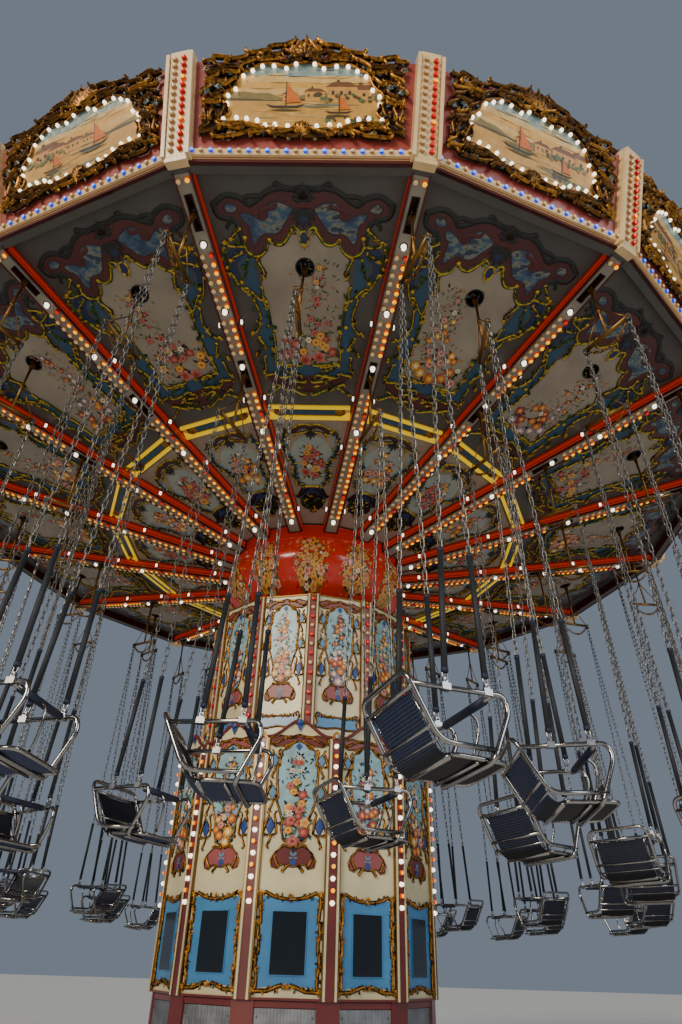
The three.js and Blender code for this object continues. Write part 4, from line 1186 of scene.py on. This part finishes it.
DRUM_OUTSIDE = [
    (0.82, -1.12), (0.9, -1.07), (0.96, -1.02), (1.03, -0.96), (1.085, -0.9), (1.14, -0.82),
    (1.178, -0.75), (1.2, -0.67), (1.207, -0.6), (1.204, -0.52), (1.19, -0.44), (1.18, -0.4), (1.168, -0.38),
    (1.152, -0.37), (1.146, -0.36), (1.145, -0.27), (1.145, -0.188),
]
DRUM_INSIDE = [(1.11, -0.188), (1.11, -0.37), (1.143, -0.75), (0.925, -1.02), (0.785, -1.12)]


def drum_radius(height):
    return float(np.interp(height, [z for _, z in DRUM_OUTSIDE], [r for r, _ in DRUM_OUTSIDE]))


def drum_surface(across, up, out):
    radius = drum_radius(up) + out
    angle = across / 1.2
    return (radius * math.sin(angle), -radius * math.cos(angle), up)


def drum():
    parts = Parts()
    # The drum's red glows a little though the drum is no lamp: painted light.
    lathe(parts, DRUM_INSIDE + DRUM_OUTSIDE + DRUM_INSIDE[:1], "drum red")
    for radius, height in ((1.178, -0.392), (1.146, -0.2)):
        rim = [(radius, height - 0.008), (radius + 0.008, height), (radius, height + 0.008)]
        lathe(parts, rim, "drum red")
    for number in range(TOWER_SIDES):
        dice = random.Random(300 + number)
        art = Art(drum_surface)
        for _ in range(150):
            u, v = dice.gauss(0, 0.13), dice.uniform(-1.05, -0.41)
            tint = dice.choice(("yellow", "dark leaf", "orange", "leaf", "peach", "leaf", "orange"))
            art.leaf((u, v), dice.uniform(0, 6.2), 0.04, 0.018, tint, 0.002)
        art.bouquet(dice, (0, -0.68), 0.19, 0.27, 34, 0.036, SUNNY, 0.004, 11)
        art.bouquet(dice, (0.01, -0.86), 0.15, 0.18, 16, 0.048, SUNNY, 0.012, 13)
        parts.take(art.parts, about_z(number * FACET))
    return parts


# The tower


def bulb_strip(art, half, low, high, tint, bulbs, first, pitch, count):
    """The strip over a corner of the tower, thinly lined, with a row of bulbs."""
    art.slab(-half, low, half, high, tint, 0, 0.012)
    for sign in (1, -1):
        art.slab(sign * half - 0.004, low, sign * half + 0.004, high, "brown line", 0, 0.016)
        u = sign * (half + 0.016)
        art.slab(u - 0.01, low, u + 0.01, high, "tower cream", -0.01, 0.018)
        u = sign * (half + 0.034)
        art.slab(u - 0.005, low, u + 0.005, high, "brass", -0.014, 0.01)
    for i in range(count):
        art.bulb((0, first - i * pitch), 0.025, bulbs[i % len(bulbs)], 0.012)


def scaled(surface, across, up, top):
    """A surface whose heights start at the top of a cartouche, drawn wider or taller."""

    def place(u, v, out):
        return surface(u * across, top + v * up, out)

    return place


def cartouche(art, dice, palettes, red):
    """A tall field with a bouquet, leaf work at its sides, a valance and a pedestal."""
    field = both_sides([
        (0, -0.065), (0.05, -0.085), (0.09, -0.14), (0.14, -0.16), (0.15, -0.23), (0.172, -0.33),
        (0.17, -0.44), (0.158, -0.53), (0.168, -0.62), (0.135, -0.72), (0.105, -0.82), (0.11, -0.9),
        (0.085, -0.99), (0, -1.035),
    ], 3)
    art.framed(field, "pale blue", 0.004, 0.01, 0.005)
    valance = both_sides([
        (0, 0.0), (0.05, -0.015), (0.1, -0.022), (0.16, -0.012), (0.2, -0.03), (0.25, -0.045),
        (0.24, -0.1), (0.2, -0.125), (0.15, -0.115), (0.1, -0.125), (0.06, -0.085), (0, -0.065),
    ], 3)
    art.framed(valance, red, 0.006, 0.008, 0.006)
    art.scrolls((0.03, -0.03), (0.13, -0.04), (3.6, -4.0), 0.014, "gold", 0.012, 0.008, 0.4, "bronze")
    art.scrolls((0.14, -0.05), (0.23, -0.09), (-3.4, 4.0), 0.014, "gold", 0.012, 0.008, 0.4, "bronze")
    art.scrolls((0.04, -0.08), (0.12, -0.13), (3.4, -3.6), 0.014, "gold", 0.012, 0.008, 0.3, "bronze")
    for top in (-0.085, -1.14):
        gem = [(0, top), (-0.03, top - 0.035), (0, top - 0.075), (0.03, top - 0.035)]
        art.fill(gem, "royal blue", 0.012)
    drops = ((-0.19, 0.14, "slate blue"), (-0.49, 0.15, "slate blue"), (-0.78, 0.18, "royal blue"))
    for v, drop, tint in drops:
        art.leaves((0.2, v), -math.pi / 2, drop, 0.088, "bronze", 0.004, 0.003)
        art.leaves((0.2, v - 0.012), -math.pi / 2, drop - 0.02, 0.066, tint, 0.006, 0.006)
        for start, end, curls, bow in (
            ((0.172, v + 0.02), (0.172, v - drop), (-3.4, 3.8), 0.5),
            ((0.215, v + 0.01), (0.235, v - drop), (3.4, -4.2), -0.5),
            ((0.19, v - drop), (0.215, v - drop - 0.1), (3.8, -3.8), 0.4),
        ):
            art.scrolls(start, end, curls, 0.011, "gold", 0.01, 0.008, bow, "bronze")
    foot = both_sides([
        (0, -1.03), (0.06, -1.035), (0.1, -1.05), (0.15, -1.1), (0.178, -1.16), (0.165, -1.215),
        (0.12, -1.228), (0.1, -1.2), (0.07, -1.192), (0.04, -1.205), (0, -1.212),
    ], 3)
    art.framed(foot, red, 0.006, 0.008, 0.006)
    art.scrolls((0.15, -1.14), (0.1, -1.21), (-2.2, -5.2), 0.014, "gold", 0.012, 0.008, -0.3, "bronze")
    art.scrolls((0.04, -1.2), (0.08, -1.26), (-2.4, -4.6), 0.014, "gold", 0.012, 0.008, 0.0, "bronze")
    art.scrolls((0.02, -1.05), (0.1, -1.03), (3.8, -3.8), 0.012, "gold", 0.014, 0.008, 0.3, "bronze")
    art.leaves((0, -1.13), math.pi / 2 + 0.5, 0.06, 0.024, "slate blue", 0.011)
    art.leaves((0, -1.14), math.pi / 2 + 1.5, 0.04, 0.02, "slate blue", 0.011)
    for _ in range(90):
        spot = (max(-0.13, min(0.13, dice.gauss(0, 0.06))), dice.uniform(-1.0, -0.22))
        way = dice.uniform(0, 6.2)
        art.leaf(spot, way, 0.05, 0.02, dice.choice(("leaf", "dark leaf", "mid blue")), 0.005)
    art.bouquet(dice, (0, -0.54), 0.075, 0.34, 14, 0.039, palettes, 0.006, 4)
    art.bouquet(dice, (0, -0.84), 0.085, 0.16, 9, 0.046, palettes, 0.012, 8)


def upper_facet(number):
    dice = random.Random(500 + number)
    art = Art(facet_surface(UPPER_RADIUS * math.cos(FACET / 2)))
    art.slab(-0.3, UPPER_TOP - 0.012, 0.3, UPPER_TOP, "brass", 0, 0.012)
    panel = Art(scaled(art.surface, 1, 1, 5.225))
    cartouche(panel, dice, (MIXED, WARM)[number % 2], "rose red")
    art.parts.take(panel.parts, Matrix.Identity(4))
    plaque = both_sides([
        (0, 3.83), (0.12, 3.82), (0.22, 3.87), (0.24, 3.83), (0.22, 3.77), (0.24, 3.71), (0.12, 3.7),
        (0, 3.72),
    ], 3)
    art.framed(plaque, "sky blue", 0.005, 0.01, 0.006)
    for k in range(7):
        spot = (0.03 + 0.032 * k, 3.85 + 0.008 * (k % 2))
        art.leaves(spot, -math.pi / 2 + 0.5, 0.055, 0.026, "bronze", 0.01, 0.008)
        art.leaves(spot, -math.pi / 2 + 0.3, 0.04, 0.014, "gold", 0.016, 0.01)
    return art.parts


def upper_corner():
    art = Art(facet_surface(UPPER_RADIUS))
    bulbs = ("red bulb", "clear bulb")
    bulb_strip(art, 0.035, 3.02, UPPER_TOP, "rose red", bulbs, 5.2, 0.113, 14)
    art.disc((0, UPPER_TOP - 0.015), 0.03, "gold", 0.02, 0.02, 8)
    return art.parts


def lower_facet(number):
    dice = random.Random(700 + number)
    art = Art(facet_surface(LOWER_RADIUS * math.cos(FACET / 2)))
    crest = curve([
        (0.385, 3.535), (0.33, 3.55), (0.27, 3.56), (0.2, 3.6), (0.12, 3.665), (0.06, 3.7), (0.03, 3.69),
    ], 4)
    art.ribbons(crest, 0.034, "tower red", 0.004, 0.03, False)
    art.scrolls((0.1, 3.68), (0.03, 3.71), (1.2, 5.0), 0.03, "tower red", 0.012, 0.03)
    art.fill([(0, 3.72), (-0.04, 3.68), (0, 3.6), (0.04, 3.68)], "royal blue", 0.016)
    art.disc((0, 3.7), 0.03, "royal blue", 0.03, 0.02, 8)
    panel = Art(scaled(art.surface, 1.2, 1.02, 3.575))
    cartouche(panel, dice, (ROSES, MIXED, WARM)[number % 3], "rose red" if number % 2 else "tower red")
    art.parts.take(panel.parts, Matrix.Identity(4))
    low, high, reach = 1.36, 2.1, 0.28
    blue = both_sides([
        (0, high - 0.04), (0.1, high - 0.025), (0.2, high - 0.01), (reach - 0.02, high - 0.02),
        (reach - 0.03, high - 0.1), (reach - 0.02, (low + high) / 2), (reach - 0.01, low + 0.1),
        (reach - 0.01, low + 0.03), (0.15, low + 0.04), (0, low + 0.05),
    ], 3)
    art.fill(blue, "sky blue", 0.004)
    for start, end, curls, bow in (
        ((0.02, 2.07), (0.14, 2.1), (-3.6, 3.6), 0.5), ((0.13, 2.08), (0.26, 2.12), (3.4, -3.8), 0.3),
        ((0.28, 2.12), (0.27, 1.98), (4.2, -3.4), 0.4), ((0.275, 2.0), (0.28, 1.86), (-3.6, 3.6), 0.4),
        ((0.28, 1.88), (0.27, 1.74), (3.6, -3.6), 0.4), ((0.27, 1.76), (0.285, 1.62), (-3.6, 3.6), 0.4),
        ((0.285, 1.64), (0.275, 1.5), (3.6, -3.6), 0.4), ((0.275, 1.52), (0.29, 1.37), (-3.6, 4.2), 0.4),
        ((0.28, 1.36), (0.14, 1.38), (4.0, -3.4), 0.4), ((0.15, 1.37), (0.02, 1.4), (-3.6, 3.6), 0.4),
    ):
        art.scrolls(start, end, curls, 0.018, "gold", 0.01, 0.014, bow, "bronze")
        spot = ((start[0] + end[0]) / 2, (start[1] + end[1]) / 2)
        for sign in (1, -1):
            for k in range(3):
                way = dice.uniform(0, 2 * math.pi)
                tint = ("bronze", "gold", "green gold")[k]
                art.leaf((sign * spot[0], spot[1]), way, 0.045, 0.02, tint, 0.012, 0.012)
    for u, v, angle in ((reach - 0.01, high, 0.8), (reach, low + 0.02, -0.8)):
        art.spray((u, v), angle, 0.055, "gold", 0.02, 0.014, 5, 0.5)
        art.spray((-u, v), math.pi - angle, 0.055, "gold", 0.02, 0.014, 5, 0.5)
    art.spray((0, high - 0.02), math.pi / 2, 0.05, "gold", 0.02, 0.014, 5, 0.5)
    art.spray((0, low + 0.02), math.pi / 2, 0.06, "gold", 0.02, 0.014, 5, 0.5)
    art.slab(-0.163, 1.477, 0.163, 1.978, "sky blue", 0.004, 0.014)
    art.strip(-0.155, 1.485, 0.155, 1.97, "mirror", 0.016)
    art.slab(-0.32, LOWER_BOTTOM, 0.32, LOWER_BOTTOM + 0.018, "tower red", 0, 0.02)
    return art.parts


def lower_corner():
    art = Art(facet_surface(LOWER_RADIUS))
    bulbs = ("white bulb", "orange bulb")
    bulb_strip(art, 0.038, LOWER_BOTTOM, 3.53, "tower red", bulbs, 3.46, 0.101, 15)
    art.fill([(-0.06, 3.53), (0.06, 3.53), (0.035, 3.585), (0, 3.615), (-0.035, 3.585)], "gold", 0.022)
    art.disc((0, 3.56), 0.02, "pale blue", 0.026, 0.008, 8)
    return art.parts


def plinth_facet():
    art = Art(facet_surface(SKIRT_RADIUS * math.cos(FACET / 2)))
    art.slab(-0.27, 0.24, 0.27, 1.24, "plate", 0, 0.01)
    for v in (0.21, 1.27):
        art.slab(-0.29, v - 0.022, 0.29, v + 0.022, "tower red", 0, 0.022)
    for u in (-0.24, 0.24):
        for v in (0.3, 0.74, 1.18):
            art.disc((u, v), 0.012, "steel", 0.012, 0.006, 8)
    return art.parts


# The roof


ROOF_EDGE = 5.55
ROOF_CROWN = 0.75
ROOF_EDGE_HEIGHT = RIM_ABOVE_PIVOT + 0.82
ROOF_CROWN_HEIGHT = ROOF_EDGE_HEIGHT + 0.62


def roof_dress():
    """Painted panels in two colours, and ribs over the roof's joints."""
    parts = Parts()
    half = math.tan(SECTOR / 2) * 0.985
    for k in range(SECTORS):
        turn = about_z(k * SECTOR)
        corners = [
            turn @ Vector((side * reach * half, -reach, height + 0.006))
            for reach, height, sides in (
                (ROOF_EDGE, ROOF_EDGE_HEIGHT, (-1, 1)), (ROOF_CROWN, ROOF_CROWN_HEIGHT, (1, -1)),
            )
            for side in sides
        ]
        parts.add(corners, [(0, 1, 2, 3)], "roof cream" if k % 2 else "roof red")
        rib = about_z((k + 0.5) * SECTOR)
        foot = rib @ Vector((0, -ROOF_EDGE / math.cos(SECTOR / 2), ROOF_EDGE_HEIGHT + 0.01))
        top = rib @ Vector((0, -ROOF_CROWN - 0.02, ROOF_CROWN_HEIGHT + 0.01))
        tube(parts, [foot, top], 0.022, "gold", 6)
    return parts


# The chairs. Forward is +X and outward is -Y, and the pin is the origin.

SPREADER_DROP = 0.75
SPREADER_HALF = 0.243
SEAT_HALF = 0.243
TUBE_RADIUS = 0.0135
SLEEVE_LENGTH = 0.7
LINK_PITCH = 0.06
LINK_HALF_WIDTH = 0.018
LINK_WIRE = 0.0052
CLAMP_REACH = 0.09
REAR_CHAIN = -0.126
FRONT_CHAIN = 0.105
BACK_FOOT = Vector((-0.17, 0, 0))
BACK_TOP = Vector((-0.34, 0, 0.31))
ARM_REAR = Vector((-0.3, 0, 0.25))
ARM_FRONT = Vector((0.196, 0, 0.278))
KNEE = Vector((0.22, 0, 0.2))
HOOP_FOOT = Vector((0.107, 0, -0.052))
PAN_HALF = 0.197
PAN_HEIGHT = -0.032


def link(parts, at, along, across, tint="chain"):
    """One chain link, an oblong ring of thin wire in the plane of along and across."""
    out = along.cross(across)
    half_length = LINK_PITCH * 0.82
    points = []
    around = 4
    for i in range(around):
        angle = 2 * math.pi * (i + 0.5) / around
        c, s = math.cos(angle), math.sin(angle)
        centre = at + along * (half_length * c) + across * (LINK_HALF_WIDTH * s)
        away = (along * c + across * s).normalized()
        points += [centre + away * LINK_WIRE, centre + (out * 0.87 - away * 0.5) * LINK_WIRE,
                   centre - (out * 0.87 + away * 0.5) * LINK_WIRE]
    faces = []
    for i in range(around):
        j = (i + 1) % around
        for k in range(3):
            m = (k + 1) % 3
            faces.append((3 * i + k, 3 * j + k, 3 * j + m, 3 * i + m))
    parts.add(points, faces, tint)


def chain(parts, start, end):
    run = end - start
    along = run.normalized()
    side = along.orthogonal().normalized()
    other = along.cross(side)
    count = int(run.length / LINK_PITCH)
    for i in range(count):
        link(parts, start + run * ((i + 0.5) / count), along, side if i % 2 else other)


def sagging_chain(parts, start, end, sag, count):
    for i in range(count):
        t = (i + 0.5) / count
        at = start.lerp(end, t) + Vector((0, 0, -4 * sag * t * (1 - t)))
        ahead = (end - start) / count + Vector((0, 0, -4 * sag * (1 - 2 * t) / count))
        along = ahead.normalized()
        side = along.cross(Vector((1, 0, 0))).normalized()
        link(parts, at, along, side if i % 2 else Vector((1, 0, 0)), "brass")


def on_arm(x):
    share = (x - ARM_REAR.x) / (ARM_FRONT.x - ARM_REAR.x)
    return ARM_REAR.lerp(ARM_FRONT, share)


def beside(point, y):
    return Vector((point.x, y, point.z))


def hanger(parts):
    for x in (-0.021, 0.021):
        box(parts, (x - 0.005, -0.024, -0.1), (x + 0.005, 0.024, 0.022), "brass")
    tube(parts, [(-0.029, 0, 0), (0.029, 0, 0)], 0.017, "steel", 10)
    box(parts, (-0.017, -0.02, -0.15), (0.017, 0.02, -0.07), "brass")
    tube(parts, [(0, 0, -0.1), (0, 0, -SPREADER_DROP)], TUBE_RADIUS, "brass", 8)
    tube(parts, [(0, 0, -0.4), (0, 0, -0.44)], 0.021, "brass", 8)
    reach = SPREADER_HALF + 0.02
    tube(parts, [(0, -reach, -SPREADER_DROP), (0, reach, -SPREADER_DROP)], 0.02, "brass", 8)
    for side in (-1, 1):
        end = side * SPREADER_HALF
        tube(parts, [(0, side * 0.02, -0.42), (0, end * 0.94, -SPREADER_DROP + 0.01)], 0.006, "brass", 6)
        low, high = -SPREADER_DROP - 0.05, -SPREADER_DROP + 0.022
        for x in (-0.014, 0.014):
            box(parts, (x - 0.004, end - 0.018, low), (x + 0.004, end + 0.018, high), "steel")
        bolt = -SPREADER_DROP - 0.034
        tube(parts, [(-0.022, end, bolt), (0.022, end, bolt)], 0.008, "chrome", 6)
    start = Vector((0.012, -SPREADER_HALF, -SPREADER_DROP))
    end = Vector((0.012, SPREADER_HALF, -SPREADER_DROP))
    sagging_chain(parts, start, end, 0.16, 14)


def seat_shell(parts, pan):
    """The ribbed woven back and pan: one sheet bent round the pan's rear bar."""
    spine = curve([(-0.29, 0.226), (-0.248, 0.144), (-0.202, 0.058), (-0.162, -0.012), (-0.1, -0.04),
                   (0.0, -0.036), (0.1, -0.034), (0.212, -0.03)], 11)
    columns = 3
    points = []
    for i, (x, z) in enumerate(spine):
        before, after = spine[max(i - 1, 0)], spine[min(i + 1, len(spine) - 1)]
        dx, dz = after[0] - before[0], after[1] - before[1]
        length = math.hypot(dx, dz)
        rib = 0.006 if i % 2 else -0.005
        for k in range(columns + 1):
            across = -1 + 2 * k / columns
            push = rib - 0.012 * (1 - across**2)
            points.append((x - dz / length * push, across * PAN_HALF, pan + z + dx / length * push))
    faces = []
    for i in range(len(spine) - 1):
        for k in range(columns):
            a = i * (columns + 1) + k
            faces.append((a, a + 1, a + columns + 2, a + columns + 1))
    parts.add(points, faces, "weave")
    # Every other row of the ribbed sheet is near black: painted shade between the ribs.
    first = len(parts.tints) - len(faces)
    for i in range(len(faces)):
        if (i // columns) % 2:
            parts.tints[first + i] = "weave dark"


def seat_frame(parts, pan):
    lift = Vector((0, 0, pan))
    rail_front = Vector((0.15, 0, 0.002))
    back = [beside(p, -SEAT_HALF) + lift for p in (rail_front, BACK_FOOT, BACK_TOP)]
    back += [beside(p, SEAT_HALF) + lift for p in (BACK_TOP, BACK_FOOT, rail_front)]
    tube(parts, rounded(back, 0.07, 5, closed=False), TUBE_RADIUS, "chrome", 8)
    sides = [beside(p, -SEAT_HALF) + lift for p in (ARM_REAR, ARM_FRONT, KNEE, HOOP_FOOT)]
    sides += [beside(p, SEAT_HALF) + lift for p in (HOOP_FOOT, KNEE, ARM_FRONT, ARM_REAR)]
    tube(parts, rounded(sides, 0.04, 4, closed=False), TUBE_RADIUS, "chrome", 8)
    corners = [(-0.1, -PAN_HALF), (0.222, -PAN_HALF), (0.222, PAN_HALF), (-0.1, PAN_HALF)]
    pan_loop = rounded([(x, y, pan + PAN_HEIGHT) for x, y in corners], 0.06)
    tube(parts, pan_loop, 0.012, "chrome", 7, closed=True)
    tube(parts, [(-0.1, -PAN_HALF, pan - 0.045), (-0.1, PAN_HALF, pan - 0.045)], 0.016, "chrome", 7)
    tube(parts, [(0.05, -PAN_HALF, pan - 0.052), (0.05, PAN_HALF, pan - 0.052)], 0.009, "chrome", 6)
    for share, radius in ((0.76, 0.012), (0.21, 0.011), (0.03, 0.007)):
        at = BACK_FOOT.lerp(BACK_TOP, share) + Vector((-0.006, 0, 0)) + lift
        tube(parts, [beside(at, -SEAT_HALF), beside(at, SEAT_HALF)], radius, "chrome", 7)
    for side in (-1, 1):
        top = beside(BACK_FOOT.lerp(BACK_TOP, 0.76) + lift, side * PAN_HALF)
        tube(parts, [top, (-0.13, side * PAN_HALF, pan - 0.02)], 0.007, "chrome", 6)
        rail, rim = (0.05, side * SEAT_HALF, pan), (0.05, side * PAN_HALF, pan - 0.03)
        tube(parts, [rail, rim], 0.008, "chrome", 5)


def lap_bar(parts, pan):
    at = on_arm(FRONT_CHAIN) + Vector((0.02, 0, pan - 0.012))
    tube(parts, [beside(at, -SEAT_HALF), beside(at, SEAT_HALF)], 0.011, "chrome", 7)
    pad = rounded([beside(at, -0.19), beside(at, 0), beside(at, 0.19)], 0.02, closed=False)
    tube(parts, pad, 0.022, "padding", 10)
    hoop = [(at.x, -0.03, at.z), (at.x + 0.05, -0.025, at.z - 0.03), (at.x + 0.06, -0.02, at.z - 0.1),
            (at.x + 0.04, 0, at.z - 0.19), (at.x + 0.02, 0.005, at.z - 0.25)]
    tube(parts, curve(hoop, 3), 0.008, "chrome", 6)


def snap(parts, foot, toward):
    """The clamp on an arm, its upright plate, and the oval snap link to the sleeve."""
    x, y, z = foot
    box(parts, (x - 0.023, y - 0.018, z - 0.015), (x + 0.023, y + 0.018, z + 0.018), "snap")
    box(parts, (x - 0.011, y - 0.012, z + 0.018), (x + 0.011, y + 0.012, z + 0.045), "snap")
    tube(parts, [(x, y - 0.02, z + 0.034), (x, y + 0.02, z + 0.034)], 0.006, "chrome", 6)
    middle = foot + toward * 0.068
    loop = []
    for k in range(10):
        angle = 2 * math.pi * k / 10
        loop.append(middle + toward * (0.034 * math.cos(angle)) + Vector((0.013 * math.sin(angle), 0, 0)))
    tube(parts, loop, 0.004, "chrome", 5, closed=True)


def chair(drop):
    parts = Parts()
    pan = -drop
    hanger(parts)
    seat_frame(parts, pan)
    seat_shell(parts, pan)
    lap_bar(parts, pan)
    for side in (-1, 1):
        for x in (REAR_CHAIN, FRONT_CHAIN):
            top = Vector((0, side * SPREADER_HALF, -SPREADER_DROP - 0.03))
            foot = beside(on_arm(x), side * SEAT_HALF) + Vector((0, 0, pan))
            toward = (top - foot).normalized()
            sleeve_top = foot + toward * (CLAMP_REACH + SLEEVE_LENGTH)
            sleeve_foot = foot + toward * CLAMP_REACH
            chain(parts, top, sleeve_top)
            tube(parts, [sleeve_top, sleeve_foot], 0.0165, "sleeve", 9)
            for end in (sleeve_top, sleeve_foot):
                tube(parts, [end - toward * 0.012, end + toward * 0.012], 0.0185, "padding", 9)
            snap(parts, foot, toward)
    return parts


def pin_height(row):
    radius = ROWS[row][0]
    if row == "middle":
        return underside(radius / math.cos(SECTOR / 2)) + BEAM_DEPTH + PIN_RISE
    return underside(radius) + PIN_RISE


def hanging_pose(row, number, azimuth):
    """How a chair flies out, trails and is twisted, at rest in the canopy."""
    name = f"{row}_{number}"
    if name in RIDDEN:
        swing, trail, twist = (math.radians(a) for a in RIDDEN[name])
    else:
        swing = ROWS[row][2] - TILT * math.cos(azimuth)
        trail = TRAIL - TILT * math.sin(azimuth)
        twist = 0.0
    turn = Matrix.Rotation(-swing, 4, "X") @ Matrix.Rotation(trail, 4, "Y")
    return turn @ Matrix.Rotation(twist, 4, "Z")


def hang_chairs():
    for row, (radius, offset, _) in ROWS.items():
        height = pin_height(row)
        mesh = as_mesh(f"chair_{row}", chair(SEAT_DROP - RIM_ABOVE_PIVOT + height))
        for i in range(SECTORS):
            number = f"{i + 1:02d}"
            azimuth = (i + offset) * SECTOR
            piece = bpy.data.objects.new(f"chair_{row}_{number}_dress", mesh)
            bpy.context.scene.collection.objects.link(piece)
            place = about_z(azimuth) @ Matrix.Translation((0, -radius, height))
            piece.matrix_world = CANOPY @ place @ hanging_pose(row, number, azimuth)
            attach(piece, f"chair_{row}_{number}")
            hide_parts(f"seat_{row}_{number}")


# The scene


def look(node, tint):
    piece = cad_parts[node]
    piece.data.materials.clear()
    piece.data.materials.append(TINTS[tint])


CAMERA_PLACE = Vector((0.512, -8.795, 1.6))
CAMERA_PITCH = 0.5717
CAMERA_ROLL = 0.03
CAMERA_YAW = math.radians(1.2)
CAMERA_LENS = 36.83


def set_camera():
    data = bpy.data.cameras.new("camera")
    data.lens = CAMERA_LENS
    data.sensor_width = 36
    data.sensor_fit = "HORIZONTAL"
    data.clip_end = 200
    camera = bpy.data.objects.new("camera", data)
    turn = Matrix.Rotation(CAMERA_YAW, 4, "Z") @ Matrix.Rotation(math.pi / 2 + CAMERA_PITCH, 4, "X")
    camera.matrix_world = Matrix.Translation(CAMERA_PLACE) @ turn @ Matrix.Rotation(CAMERA_ROLL, 4, "Z")
    bpy.context.scene.collection.objects.link(camera)
    bpy.context.scene.camera = camera


def add_light(name, kind, place, aim, energy, color):
    data = bpy.data.lights.new(name, kind)
    data.energy = energy
    data.color = color
    light = bpy.data.objects.new(name, data)
    way = Vector(aim) - Vector(place)
    light.visible_camera = False
    light.matrix_world = Matrix.Translation(place) @ way.to_track_quat("-Z", "Y").to_matrix().to_4x4()
    bpy.context.scene.collection.objects.link(light)
    return data


def area_light(name, place, aim, size, energy, color):
    data = add_light(name, "AREA", place, aim, energy, color)
    data.shape = "DISK"
    data.size = size


def set_stage():
    shader = Shader("floor")
    grain = shader.noise(1.5, 6)
    shader.color(shader.ramp(grain, [(0.3, (0.66, 0.66, 0.65)), (0.7, (0.72, 0.72, 0.71))]))
    shader.rough(grain, 0.8, 0.95)
    mesh = bpy.data.meshes.new("floor")
    reach = 60
    corners = [(-reach, -reach, 0), (reach, -reach, 0), (reach, reach, 0), (-reach, reach, 0)]
    mesh.from_pydata(corners, [], [(0, 1, 2, 3)])
    mesh.materials.append(shader.material)
    floor = bpy.data.objects.new("floor", mesh)
    bpy.context.scene.collection.objects.link(floor)
    world = bpy.data.worlds.new("studio")
    world.use_nodes = True
    background = world.node_tree.nodes["Background"].inputs
    background["Color"].default_value = (0.6, 0.72, 0.9, 1)
    background["Strength"].default_value = 0.27
    bpy.context.scene.world = world
    key = add_light("key", "SUN", (-14, -22, 17), (0, 0, 6), 2.7, (1, 0.88, 0.7))
    key.angle = 0.35
    area_light("fill", (20, -20, 14), (0, 0, 4), 14, 2600, (0.92, 0.95, 1))
    area_light("bounce", (0, -9, 0.02), (0, -9, 8), 12, 110, (1, 0.93, 0.84))


set_camera()
set_stage()

for node, tint in {
    "base_frame": "steel",
    "plinth_skirt": "tower red",
    "lower_housing": "tower cream",
    "mast": "steel",
    "upper_housing": "tower cream",
    "tilt_head": "steel",
    "sweep_frame": "steel",
    # The soffit panels take the soffit grey, darkened as painted shade.
    "soffit_panels": "soffit",
    "light_beams": "deep red",
    "rounding_boards": "board red",
    "roof": "roof red",
}.items():
    look(node, tint)

boards = Parts()
panels = Parts()
inner_panels = Parts()
for number in range(SECTORS):
    turn = CANOPY @ about_z(number * SECTOR)
    boards.take(rounding_board(number), turn)
    panels.take(outer_panel(number), turn)
    inner_panels.take(inner_panel(number), turn)
show("rounding_board_carving", boards, "canopy")
show("soffit_outer_paintings", panels, "canopy")
show("soffit_inner_paintings", inner_panels, "canopy")
show("corner_post_covers", corner_post(), "canopy", ring(SECTORS, SECTOR / 2, CANOPY))
show("rim_lip_covers", rim_lip(), "canopy", ring(SECTORS, 0, CANOPY))
show("panel_light_bars", light_bars(), "canopy", ring(SECTORS, 0, CANOPY))
show("beam_lights", beam_lights(), "canopy", ring(SECTORS, SECTOR / 2, CANOPY))
show("drum_painted", drum(), "canopy", [CANOPY], nodes=["drum"])
show("roof_dress", roof_dress(), "canopy", [CANOPY])

upper = Parts()
lower = Parts()
for number in range(TOWER_SIDES):
    upper.take(upper_facet(number), about_z(UPPER_PHASE + (number + 0.5) * FACET))
    lower.take(lower_facet(number), about_z(number * FACET))
show("upper_housing_paintings", upper, "tower_lift")
show("lower_housing_paintings", lower, "foundation")
show("upper_corner_strips", upper_corner(), "tower_lift", ring(TOWER_SIDES, UPPER_PHASE))
show("lower_corner_strips", lower_corner(), "foundation", ring(TOWER_SIDES, FACET / 2))
show("plinth_plates", plinth_facet(), "foundation", ring(TOWER_SIDES))

hang_chairs()
